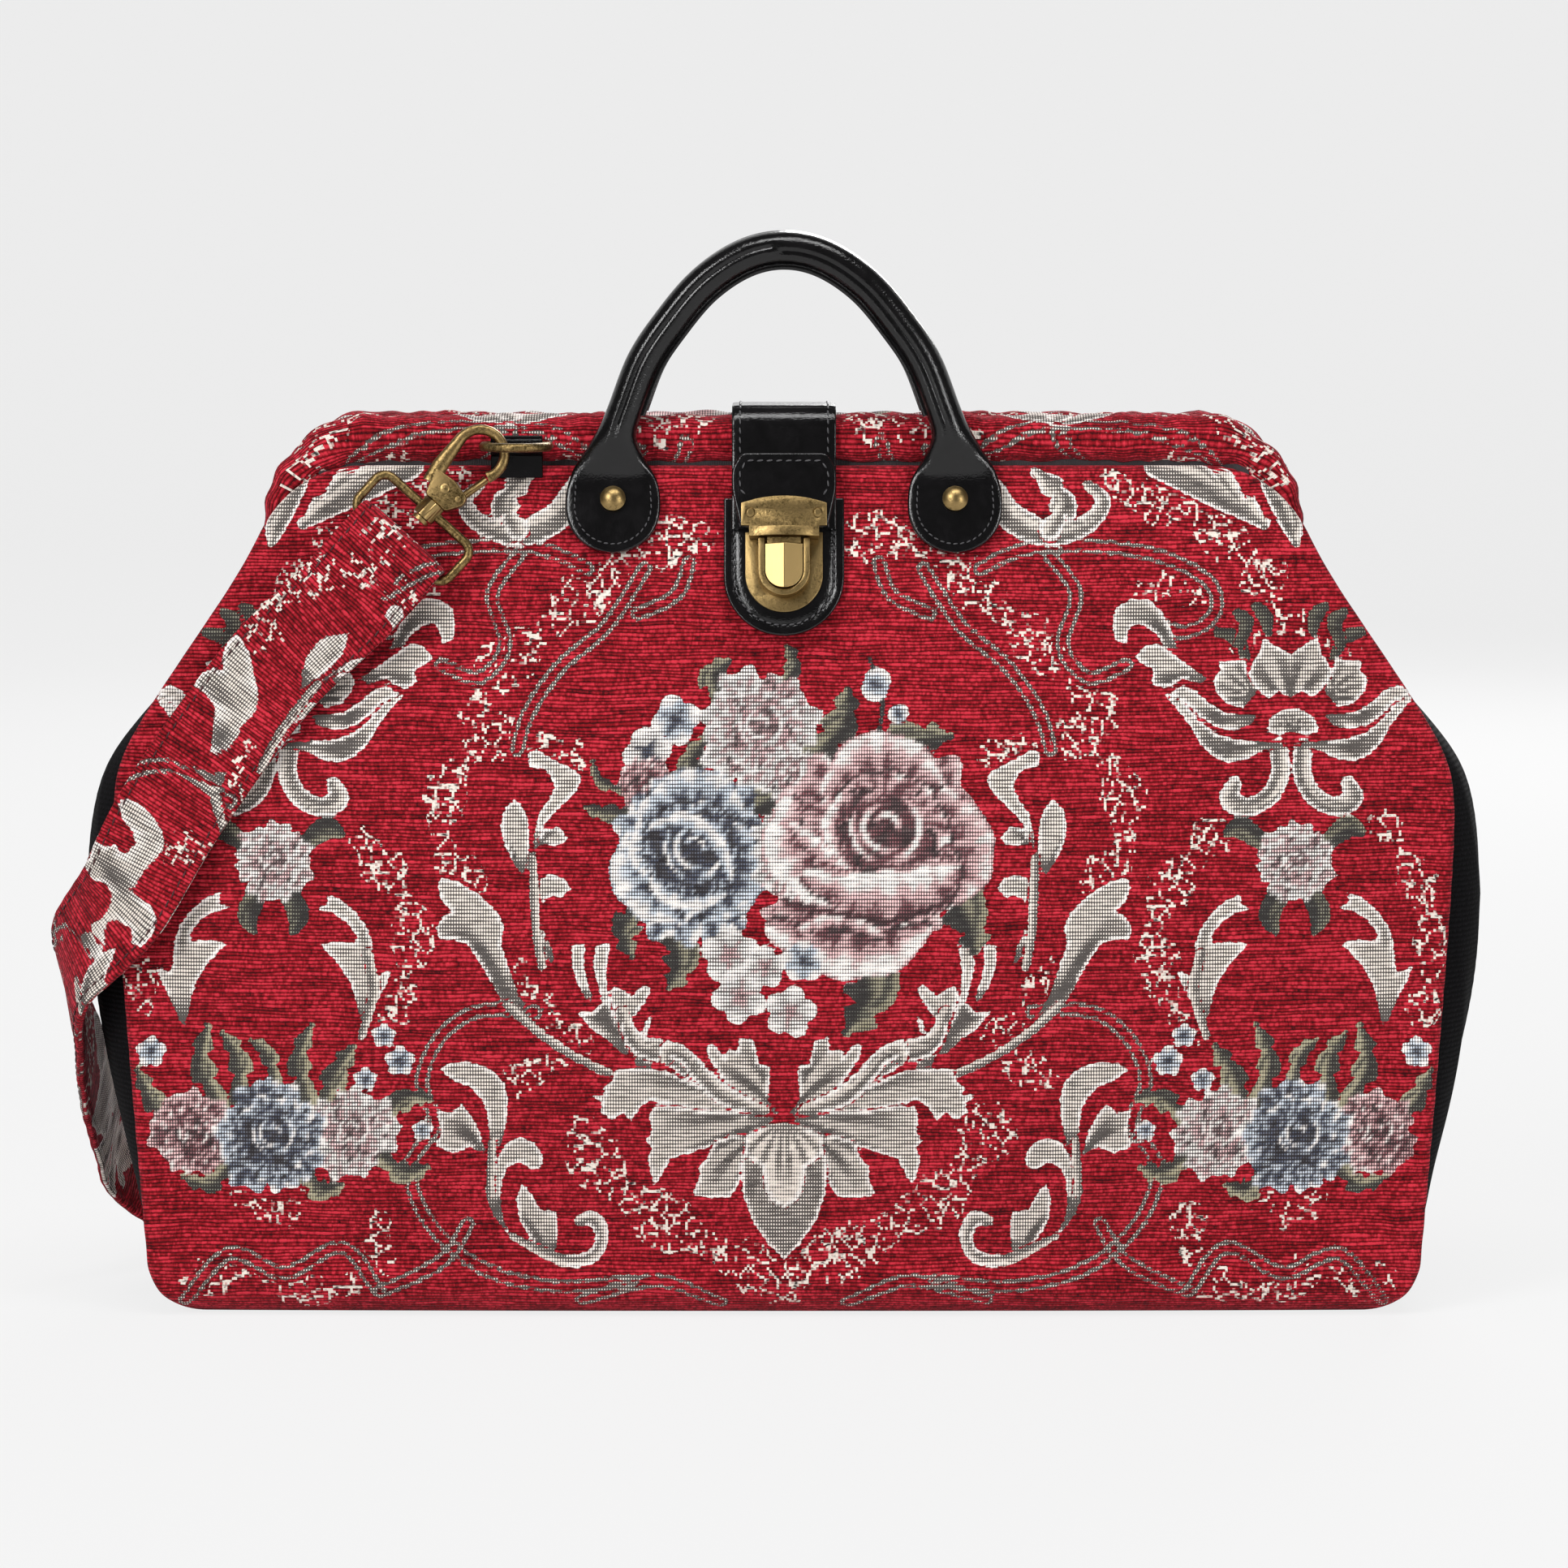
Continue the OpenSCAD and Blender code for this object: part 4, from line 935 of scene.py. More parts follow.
def weave_medallions(t):
    """Rose between two scrolls at each side."""
    for s in (-1, 1):
        t.both(t.leaf, [(161 + s * 10, 150), (161 + s * 17, 155), (161 + s * 22, 153)], [2.5, 3.5, 1],
               "olive", "green", tone=(0.6, 0.15))
        t.both(t.leaf, [(161 + s * 4, 136), (161 + s * 8, 128), (161 + s * 6, 122)], [3, 3.5, 1],
               "olive", "green", tone=(0.5, 0.1))
    t.pair(161, (132, 91), [
        (144.5, 134.5), (140, 133), (134.5, 128.5), (131, 123.5), (129.5, 119), (129, 112), (128, 109),
        (123.5, 111), (125, 106.5), (128, 101), (130.5, 95), (132.5, 91.5), (134, 97), (135, 102),
        (136.5, 106.5), (140, 112), (144.5, 117), (147, 118.5), (141.5, 119.5), (135, 119), (134.5, 121.5),
        (138, 126), (142, 128.5), (147.5, 129.5), (143.5, 131.5)], rays=7.0)
    t.both(lambda p: t.rose(*p[0], 11.5, "white", "pink", 4), [(161, 144)])


def weave_corners(t):
    """Small bouquets in the lower corners."""
    for pts, w in (
        ([(146, 66), (141, 78), (136, 86)], [3, 4.5, 1.5]),
        ([(178, 68), (184, 80), (182, 92)], [3, 4.5, 1.5]),
        ([(150, 70), (153, 82), (149, 93)], [3, 4, 1.2]),
        ([(172, 70), (172, 82), (177, 90)], [3, 4, 1.2]),
        ([(128, 62), (119, 70), (112, 70)], [3, 4, 1.5]),
        ([(194, 62), (200, 70), (204, 78)], [3, 4, 1.5]),
        ([(128, 52), (120, 46), (113, 48)], [3, 4, 1.5]),
        ([(152, 46), (146, 40), (140, 42)], [3, 4, 1.2]),
        ([(160, 74), (163, 84), (168, 88)], [2, 3, 1]),
        ([(176, 48), (182, 42), (190, 44)], [3, 3.5, 1.2]),
    ):
        t.both(t.leaf, pts, w, "olive", "green", teeth=3, tone=(0.9, 0.25))
    for cx, cz, r in ((121, 82, 5), (126, 90, 4), (200, 84, 5), (114, 60, 3.5), (132, 76, 4)):
        t.both(lambda p, r=r: t.bloom(*p[0], r, "sky", "blue"), [(cx, cz)])
    t.both(lambda p: t.rose(*p[0], 12.5, "pink", "wine", 5), [(187, 58)])
    t.both(lambda p: t.rose(*p[0], 14, "white", "pink", 6), [(137, 59)])
    t.both(lambda p: t.rose(*p[0], 17, "sky", "blue", 7), [(162, 57)])


def weave_frame(t):
    """Inner frame of stems and big leaves, then the lower scrolls."""
    for base, line in (
        ((79, 146), [(63.5, 171), (66, 173.5), (70, 175.5), (74, 177.5), (78, 180), (80.5, 178.5),
                     (80, 174.5), (76, 174), (73.5, 172), (72, 168.5), (74, 164), (77, 160), (78.5, 153),
                     (79.5, 145), (77.5, 150.5), (75, 157), (70.5, 162), (65.5, 166.5)]),
        ((82, 141), [(84.5, 164.5), (88, 161), (89, 156), (88, 150.5), (85, 144.5), (82, 140.5),
                     (80.5, 146), (80, 152), (80.5, 158), (82, 161.5)]),
        ((77, 150), [(68, 152.5), (71, 156), (76, 155), (77.5, 150.5), (73, 150), (69.5, 150.5)]),
        ((73, 113), [(67, 136.5), (69, 140), (74, 141), (78.5, 138.5), (79.5, 133), (79, 126), (77, 120),
                     (75, 116), (72, 112), (73, 118), (75.5, 123), (76.5, 129), (75.5, 133), (72.5, 134.5),
                     (70, 133.8)]),
        ((84, 98), [(58, 78), (68, 84), (78, 91), (84, 96), (89, 101.5), (92, 107), (96, 114), (100, 119.5),
                    (104, 120.5), (108.5, 120.5), (109.5, 124), (107, 128), (104, 129), (107.5, 132.5),
                    (109, 137), (108, 139.8), (102, 138.5), (95, 134), (90, 129), (88, 124.5), (89, 119),
                    (86.5, 112), (83.5, 103), (79, 95.5), (74, 91), (66, 85.5), (57, 80)]),
        ((49, 85), [(54.5, 119.5), (59, 119), (60, 113), (58.5, 106), (57, 101), (60, 98), (65.5, 98),
                    (63, 95.5), (60, 92), (56, 89.5), (50, 84), (48, 86), (51, 92), (54, 98), (55.5, 104),
                    (56, 111)]),
        ((61, 100), [(62.5, 119.5), (66.8, 118.5), (66.5, 112), (64.5, 106), (61, 100.5), (60, 102.5),
                     (62, 108), (63, 113)]),
        ((51, 91), [(41.5, 105.5), (44, 106.5), (48, 103), (51.5, 105.5), (54, 106), (54.5, 102), (53, 97),
                    (51, 91.5), (48, 94), (46, 98), (43.5, 101.5)]),
        ((46, 80), [(41, 97), (43.5, 95.5), (44.5, 91.5), (48, 91.5), (49.5, 88), (47.5, 84), (46, 80),
                    (41, 79), (43, 84), (43.5, 90)]),
        ((91, 53), [(90.5, 78), (94, 80.5), (100, 82), (105, 81.5), (108.5, 79.5), (104, 76), (99, 74),
                    (95.5, 70.5), (93.5, 66), (93, 60), (92.5, 54.5), (94, 42), (92, 42), (90.5, 53),
                    (88.5, 58), (87.3, 64), (87, 70), (88, 75)]),
        ((94, 51), [(94, 52), (99, 55), (104, 52.5), (110, 55), (108, 59.5), (109.5, 66.5), (105, 65.5),
                    (101.5, 68.5), (98.5, 64.5), (96, 60)]),
        ((92, 33), [(76, 52), (78.5, 56), (83, 58), (87.5, 56), (90.5, 51), (93, 44), (94.5, 40), (92, 33),
                    (88, 27.5), (82, 23), (86, 26), (89, 32), (89.5, 38), (89, 44), (87, 48.5), (83, 50),
                    (79.5, 47.5), (76.5, 48.5)]),
        ((74, 19), [(72, 34), (77, 34.5), (79.5, 39), (82.5, 43.5), (84.5, 38), (83.5, 31), (80, 25),
                    (76.5, 20.5), (70.5, 18.5), (72, 22), (71.5, 28)]),
    ):
        t.both(t.blade, line, base, rays=7.0)
    for line in (
        [(55, 78.5), (68, 85), (78, 92), (87, 100)],
        [(76, 112), (78, 124), (79, 146)],
        [(93, 40), (92, 56)],
        [(133, 90), (129, 104), (131, 116)],
    ):
        t.both(t.leaf, line, [1.3] * len(line))
    t.both(t.leaf, [(86, 26), (74, 19.5), (66, 18), (60, 20), (57.5, 26), (60, 31.5), (64.5, 31)],
           [1, 1.7, 2.1, 2.1, 2.1, 2.5, 1.8])


def weave_palmette(t):
    """Central palmette under the bouquet."""
    t.both(t.leaf, [(22, 74), (34, 84), (46, 88), (51, 98)], [3, 4, 3, 1.5])
    for base, line in (
        ((0, 64.5), [(3, 65), (14, 69), (26, 74), (38, 79.5), (46, 80), (53, 79.5), (54, 76), (57, 74),
                     (56, 71.5), (61, 71.5), (57, 69), (58, 66), (54, 63.5), (51, 66), (48, 63.5),
                     (45.5, 67.5), (42, 70), (34, 68), (22, 66), (10, 64.5)]),
        ((0, 64.5), [(3, 64.5), (14, 66), (26, 66.5), (35, 68), (41, 68), (42.5, 64), (41.5, 60),
                     (43.5, 57), (41.5, 54.5), (43, 51), (41, 42.5), (39, 45), (36, 51), (30, 53),
                     (25, 54.5), (18, 57), (8, 59)]),
        ((6, 61), [(7, 60), (16, 58.5), (22, 56.5), (24.5, 51), (27, 48.5), (26.5, 45.5), (29, 39.5),
                   (23, 38.5), (17, 38.8), (14.2, 43), (13, 50), (9.5, 55)]),
        ((0, 64.5), [(1, 65), (5, 70), (4.3, 80.5), (8, 81.5), (9.5, 89), (14, 90), (14.4, 85.7), (18, 86.2),
                     (18.7, 83.3), (22, 88), (24.5, 87.5), (24, 84), (20, 78), (15, 71.5), (4, 66)]),
    ):
        t.both(t.blade, line, base)
    t.both(t.leaf, [(6, 66.5), (18, 71), (26, 78), (31, 84), (36, 86), (37, 83)],
           [1.5, 3, 2.6, 2.4, 2.6, 1.5])
    for half, tone in (
        ([(8, 58), (12.5, 54), (13.4, 47), (13, 40), (10, 31), (5, 23.5)], (0.4, 0.2)),
        ([(6, 61.5), (12, 58.5), (12, 52.5), (9, 50), (6.5, 49), (6, 42), (4, 38)], (0.95, 0.35)),
    ):
        tip = (0, 18.3) if tone[0] < 0.5 else (0, 35.3)
        t.blade([(0, 63), *half, tip, *((-x, z) for x, z in reversed(half))], (0, 64), tone)


def weave_bouquet(t):
    """Bouquet in the middle: leaves, then blooms, then the roses."""
    for pts, w in (
        ([(10, 178), (18, 188), (20, 198)], [5, 6.5, 1.5]),
        ([(30, 176), (40, 183), (52, 184)], [5, 6.5, 1.5]),
        ([(48, 140), (58, 128), (60, 118)], [6, 7.5, 2]),
        ([(22, 118), (28, 104), (20, 92)], [7, 9, 2]),
        ([(-36, 124), (-32, 114), (-36, 106)], [5, 6, 1.5]),
        ([(-44, 132), (-50, 124), (-48, 116)], [4, 5, 1.5]),
        ([(-20, 196), (-23, 203), (-18, 207)], [3, 4.5, 1.5]),
        ([(-2, 198), (3, 206), (1, 212)], [2, 3, 1]),
        ([(-46, 160), (-56, 160), (-62, 162)], [2.5, 3, 1]),
        ([(-48, 166), (-58, 170), (-60, 176)], [1.5, 2, 1]),
        ([(-28, 168), (-30, 176), (-26, 182)], [3, 4, 2]),
        ([(-12, 160), (-6, 164), (0, 168)], [4, 4.5, 2]),
    ):
        t.leaf(pts, w, "olive", "green", teeth=3, tone=(0.75, 0.12))
    t.cord([(30, 186), (31, 196), (27, 208)], 0.7, 0.2, "green")
    t.bloom(29, 200, 5.5, "sky", "blue", 2, 1.2)
    t.bloom(36, 191, 3.5, "sky", "blue", 2, 0.4)
    t.bloom(-34, 189, 8, "sky", "blue", 4)
    t.bloom(-43, 179, 8, "white", "blue", 4)
    t.rose(-43, 169, 8.5, "pink", "wine", 8)
    t.rose(-8, 186, 17.5, "white", "pink", 9)
    t.rose(2, 172, 9, "white", "pink", 10)
    t.rose(-29, 147, 24, "sky", "blue", 11, 1.05)
    for pts, w, tone in (
        ([(-48, 152), (-50, 142), (-44, 132), (-34, 128)], [3, 5, 5, 3], (0.35, 0.9)),
        ([(-44, 160), (-34, 168), (-22, 168), (-14, 160)], [3, 5, 5, 3], (0.8, 0.3)),
        ([(-14, 154), (-10, 144), (-14, 134), (-24, 128)], [3, 5, 5, 3], (0.7, 0.2)),
        ([(-41, 156), (-31, 158), (-21, 151), (-17, 140)], [1.6, 2.8, 2.8, 1.6], (1.0, 0.5)),
        ([(-43, 143), (-38, 135), (-28, 132), (-19, 135)], [1.6, 2.6, 2.6, 1.6], (0.6, 1.0)),
        ([(-45, 157), (-47, 148), (-43, 141)], [1.6, 2.6, 1.6], (0.6, 1.0)),
    ):
        t.petal(pts, w, "sky", "blue", tone)
    t.rose(20, 132, 27, "pink", "wine", 12, 0.72)
    t.rose(5, 148, 14, "white", "pink", 13)
    t.rose(31, 153, 29, "pink", "wine", 14)
    for pts, w, tone in (
        ([(-2, 124), (12, 117), (30, 116), (44, 124)], [4, 7, 7, 3], (0.25, 0.95)),
        ([(50, 166), (58, 156), (60, 144), (54, 134)], [3, 6, 6, 3], (0.75, 0.3)),
        ([(2, 162), (0, 150), (8, 138), (18, 134)], [4, 7, 6, 3], (0.3, 0.95)),
        ([(8, 140), (26, 134), (44, 136), (54, 142)], [3, 8, 8, 3], (0.95, 0.3)),
        ([(14, 168), (24, 178), (38, 178), (48, 170)], [3, 6, 6, 3], (0.85, 0.3)),
        ([(3, 156), (10, 150), (19, 143)], [1.8, 3.2, 1.8], (1.0, 0.5)),
        ([(18, 165), (14, 156), (17, 147)], [1.6, 2.8, 1.6], (0.5, 0.95)),
        ([(6, 124), (18, 127), (30, 122)], [1.8, 3.0, 1.8], (0.95, 0.4)),
    ):
        t.petal(pts, w, "pink", "wine", tone)
    t.cord([(0, 133), (16, 129), (34, 127), (50, 132)], 0.7, 0.05, "wine")
    t.bloom(-17, 116, 9.5, "white", "pink", 5)
    t.bloom(-14, 103, 9, "white", "pink", 5, 0.8)
    t.bloom(2, 98, 8.5, "white", "pink", 5, 0.1)
    t.bloom(6, 114, 7, "sky", "blue", 5)
    t.bloom(-6, 112, 7, "white", "pink", 5)


def weave_ornament(x, z, tint):
    """The whole ornament of the cloth, a bouquet in a frame of scrolls with medallions at the sides."""
    t = Tapestry(x, z, tint)
    for weave in (
        weave_lace, weave_outlines, weave_shoulders, weave_lotus, weave_medallions, weave_corners,
        weave_frame, weave_palmette, weave_bouquet,
    ):
        weave(t)
    return t


def set_field(mesh, name, kind, values, key="value"):
    data = mesh.attributes.new(name, kind, "POINT").data
    data.foreach_set(key, np.ascontiguousarray(values, np.float32).ravel())


def weave_into(obj, x, z):
    """Weaves the ornament into a cloth with its points at x, z on the pattern; returns the motifs' depth."""
    t = weave_ornament(x, z, bpy.context.scene.bag_colours)
    set_field(obj.data, "motif", "FLOAT", t.depth)
    set_field(obj.data, "tone", "FLOAT", np.clip(t.tone, 0, 1))
    set_field(obj.data, "lace", "FLOAT", t.net * smooth(-t.depth, 0.2, 1.2) * 0.5)
    set_field(obj.data, "ink", "FLOAT_COLOR", np.column_stack([t.ink, np.ones(len(x))]), "color")
    return t.depth


# Padded panels

TURN_IN, EDGE_R, TOP_R = 7.5, 2.5, 2.5
FOOT_ARC = FOOT_R * math.pi / 2
TOP_RUN = TURN_IN + FOOT_ARC + SEAM_Z - FOOT_R - TOP_R
PANEL_RUN = TOP_RUN + TOP_R * math.pi / 2 + 2


def panel_rows(v):
    """Height and inward turn of a panel at the share v of its run from under the foot to the seam."""
    s = v * PANEL_RUN - TURN_IN
    foot = np.clip(s, 0, FOOT_ARC) / FOOT_R
    z = np.where(s < FOOT_ARC, FOOT_R * (1 - np.cos(foot)), s - FOOT_ARC + FOOT_R)
    over = np.maximum(0, s + TURN_IN - TOP_RUN) / TOP_R
    roll = np.minimum(over, math.pi / 2)
    z = np.where(over > 0, SEAM_Z - TOP_R + TOP_R * np.sin(roll), z)
    turn = np.where(over > 0, TOP_R * (1 - np.cos(roll)) + TOP_R * (over - roll), np.maximum(0, -s))
    return s, np.clip(z, 0.05, SEAM_Z - 0.05), turn


def panel_place(u, v):
    """Points of the front panel with rounded edges, and how far across and up each lies on the cloth."""
    s, z, turn = panel_rows(v)
    wide = half_w(z)
    flat = wide - EDGE_R
    t = (2 * u - 1) * (flat + EDGE_R * math.pi / 2 + PAD - EDGE_R)
    over = np.maximum(0, np.abs(t) - flat) / EDGE_R
    roll = np.minimum(over, math.pi / 2)
    x = np.sign(t) * np.where(over > 0, flat + EDGE_R * np.sin(roll), np.abs(t))
    turn = turn + EDGE_R * (1 - np.cos(roll)) + EDGE_R * (over - roll)
    y = turn - face_y(np.minimum(np.abs(x), wide), z)
    return np.column_stack([x, y, z]), np.column_stack([t, s])


def held_cloth(sizes):
    """A coarse panel of cloth held at its seams and let slack over the padding; returns how far it sinks."""
    nu, nv, last = 66, 44, 26
    obj = grid("cloth_run", nu, nv, panel_place)
    rest = points_of(obj.data)
    flat = np.abs((np.arange(len(rest)) % (nu + 1)) / nu - 0.5)
    rise = (np.arange(len(rest)) // (nu + 1)) / nv
    held = (flat > 0.47) | (rise < 0.1) | (rise > 0.84)
    group = obj.vertex_groups.new(name="seams")
    group.add(np.flatnonzero(held).tolist(), 1.0, "REPLACE")
    mod = obj.modifiers.new("cloth", "CLOTH")
    mod.settings.quality = 5
    mod.settings.mass = 0.25
    mod.settings.tension_stiffness = mod.settings.compression_stiffness = 18
    mod.settings.shear_stiffness = 6
    mod.settings.bending_stiffness = 0.35
    mod.settings.shrink_min = -0.012
    mod.settings.use_pressure = True
    mod.settings.uniform_pressure_force = -0.25
    mod.settings.vertex_group_mass = "seams"
    mod.settings.effector_weights.gravity = 0.25
    mod.point_cache.frame_start, mod.point_cache.frame_end = 1, last
    for number in range(1, last + 1):
        bpy.context.scene.frame_set(number)
    apply_all(obj)
    moved = (points_of(obj.data)[:, 1] - rest[:, 1]) / MM
    bpy.context.scene.frame_set(1)
    bpy.data.objects.remove(obj)
    deep = sizes.crease / MM
    return np.clip(moved, -0.3, deep).reshape(nv + 1, nu + 1)


def sampled(field, u, v):
    """An even grid of values read at the shares u and v, smoothly."""
    rows, cols = field.shape
    a, b = np.clip(u, 0, 1) * (cols - 1), np.clip(v, 0, 1) * (rows - 1)
    i, j = np.minimum(a.astype(int), cols - 2), np.minimum(b.astype(int), rows - 2)
    p, q = smooth(a - i, 0, 1), smooth(b - j, 0, 1)
    low = field[j, i] * (1 - p) + field[j, i + 1] * p
    high = field[j + 1, i] * (1 - p) + field[j + 1, i + 1] * p
    return low * (1 - q) + high * q


def make_panel(name, step, sizes, sink):
    """One padded panel at the front, with puckers at its seams and flat motifs under the pile."""
    wide = 2 * (HIP + PAD)
    nu, nv = int(wide / (step / MM)), int(PANEL_RUN / (step / MM))
    kept = {}

    def place(u, v):
        co, weave = panel_place(u, v)
        kept["u"], kept["v"], kept["weave"] = u, v, weave
        return co, weave

    obj = grid(name, nu, nv, place)
    x, z = kept["weave"][:, 0], kept["weave"][:, 1] + FOOT_R - FOOT_ARC
    depth = weave_into(obj, x, z)
    co = points_of(obj.data) / MM
    from_side = half_w(np.clip(co[:, 2], 1, 267)) - np.abs(co[:, 0])
    from_top = SEAM_Z - co[:, 2]
    near_side = 1 - smooth(from_side, 2, 15)
    near_top = 1 - smooth(from_top, 2, 13)
    ripple = near_side * np.sin(co[:, 2] * 0.62 + 0.8 * np.sin(co[:, 2] * 0.13))
    ripple = ripple + near_top * np.sin(co[:, 0] * 0.5 + 1.1 * np.sin(co[:, 0] * 0.09))
    inward = sizes.pucker / MM * ripple + sizes.relief / MM * smooth(depth, -0.3, 0.5)
    if sink is not None:
        inward = inward + sampled(sink, kept["u"], kept["v"])
    co[:, 1] += inward
    set_points(obj.data, co * MM)
    return finish_mesh(obj, "tapestry", 180)


def make_panels(sizes):
    sink = held_cloth(sizes)
    front = make_panel("front_cloth", sizes.front_step, sizes, sink)
    back = make_panel("back_cloth", sizes.back_step, sizes, sink)
    turn_half(back)
    for obj, half in ((front, "front"), (back, "back")):
        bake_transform(obj)
        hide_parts(half + "_panel")


# Sides, base and inside


def make_sides():
    """Black gussets that swell out between the panels."""
    top, belly_top, belly, thick = 236, 200, 14.6, 2.6

    def place(u, v):
        z = top * v
        w = 2 * u - 1
        y = w * (edge_y(z) - PAD + 0.6)
        bell = np.where(z >= belly_top, 0.0, np.sin(np.pi * np.minimum(1, z / belly_top) ** 1.25))
        x = half_w(z) - 1.2 + belly * bell * (1 - np.abs(w) ** 3)
        fold = 1.1 * bell * np.sin(w * 7 + z * 0.05) * (1 - np.abs(w) ** 2) * np.sin(z * 0.045 + 0.4)
        return np.column_stack([x - np.abs(fold), y, z]), np.column_stack([y, z])

    for name, sign in (("right_gusset", 1), ("left_gusset", -1)):
        obj = grid(name + "_cloth", 64, 150, place)
        mod = obj.modifiers.new("cloth", "SOLIDIFY")
        mod.thickness, mod.offset = thick * MM, -1
        apply_all(obj)
        if sign < 0:
            turn_half(obj)
        finish_mesh(obj, "black_chenille", 60)
        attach(obj, "root")
        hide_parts(name)


def make_base():
    """Black base cloth with a sewn edge, over the stiff board."""
    half_x, half_y, thick = 178.0, 28.9, 2.4

    def place(u, v):
        x, y = (2 * u - 1) * half_x, (2 * v - 1) * half_y
        dome = (1 - np.abs(2 * u - 1) ** 8) * (1 - np.abs(2 * v - 1) ** 4)
        return np.column_stack([x, y, 0.05 + 0.5 * (1 - dome)]), np.column_stack([x, y])

    obj = grid("base_cloth", 90, 24, place)
    mod = obj.modifiers.new("cloth", "SOLIDIFY")
    mod.thickness, mod.offset = thick * MM, 1
    apply_all(obj)
    edit(obj, FACE_OUT)
    finish_mesh(obj, "black_chenille", 60)
    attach(obj, "root")
    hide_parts("base_panel")


LINING_LOW = 7.2


def lining_walls():
    """Lining of the panels, which ends inside their casings."""
    high, sewn_in, hinge_x, hinge_z = 262.0, 271.0, 150.0, 222

    def wall(u, v):
        z = LINING_LOW + (sewn_in - LINING_LOW) * v
        reach = np.minimum(half_w(np.minimum(z, high)) - 5.6, np.where(z > hinge_z, hinge_x, np.inf))
        x = (2 * u - 1) * reach
        y = PAD + 1.4 - face_y(x, z) + np.where(z > 231, -2.4 * smooth(z, 231, 245), 0)
        return np.column_stack([x, y, z]), np.column_stack([x, z])

    front = grid("lining_front", 80, 60, wall)
    edit(front, (bpy.ops.mesh.flip_normals, {}))
    back = back_copy(front, "lining_back")
    for obj, half in ((front, "front"), (back, "back")):
        finish_mesh(obj, "lining", 60)
        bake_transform(obj)
        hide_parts("lining")


def lining_sides():
    """Lining of the gussets."""
    top = 218

    def side(u, v):
        z = LINING_LOW + (top - LINING_LOW) * v
        y = (2 * u - 1) * (edge_y(z) - PAD - 1.6)
        return np.column_stack([half_w(z) - 5.8, -y, z]), np.column_stack([y, z])

    for name, sign in (("lining_right", 1), ("lining_left", -1)):
        obj = grid(name, 16, 50, side)
        if sign < 0:
            turn_half(obj)
        finish_mesh(obj, "lining", 60)
        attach(obj, "root")


def lining_floor():
    """Lining over the board."""
    half_x, half_y = 185.0, edge_y(LINING_LOW) - PAD - 1.6

    def floor(u, v):
        x, y = (2 * u - 1) * half_x, (2 * v - 1) * half_y
        return np.column_stack([x, y, np.full(len(x), LINING_LOW)]), np.column_stack([x, y])

    obj = grid("lining_floor", 60, 16, floor)
    finish_mesh(obj, "lining", 60)
    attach(obj, "root")


def make_divider():
    """Padded divider of the laptop's place."""
    low, top = 8.6, 200

    def pad(u, v):
        a = 2 * np.pi * v - np.pi
        z = low + (top - low) * u
        x = np.sign(np.cos(a)) * np.abs(np.cos(a)) ** 0.16 * (half_w(z) - 8)
        edge = 1 - smooth(np.abs(u - 0.5), 0.485, 0.5)
        y = 6.5 + 3.4 * np.sign(np.sin(a)) * np.abs(np.sin(a)) ** 0.5 * (0.25 + 0.75 * edge)
        return np.column_stack([x, y, z]), np.column_stack([x, z])

    obj = grid("divider_pad", 60, 96, pad)
    close(obj)
    finish_mesh(obj, "lining", 60)
    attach(obj, "root")
    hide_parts("laptop_divider")


def make_inside():
    """Lining, divider and the finish of the board."""
    lining_walls()
    lining_sides()
    lining_floor()
    make_divider()
    board = frame["nodes"]["base_board"]
    board.data.materials.clear()
    board.data.materials.append(finish("board"))


# Frame and casings


def casing_line(step):
    """Stations along a casing, left foot to right foot over the top: x, z, turn and share of its top size."""
    arc = np.linspace(0, math.pi / 2, int(FRAME_R * math.pi / 2 / step) + 1)
    leg = np.linspace(CASING_FOOT, CORNER_Z, int((CORNER_Z - CASING_FOOT) / step) + 1)[:-1]
    right = [(PIVOT_X, z, 0.0, 0.0) for z in leg]
    for a in arc:
        c, s = math.cos(a), math.sin(a)
        right.append((CORNER_X + FRAME_R * c, CORNER_Z + FRAME_R * s, a, s**2))
    across = np.linspace(CORNER_X, -CORNER_X, int(2 * CORNER_X / step) + 1)[1:-1]
    top = [(x, CASING_Z, math.pi / 2, 1.0) for x in across]
    left = [(-x, z, math.pi - a, w) for x, z, a, w in reversed(right)]
    return np.array(right + top + left)[::-1]


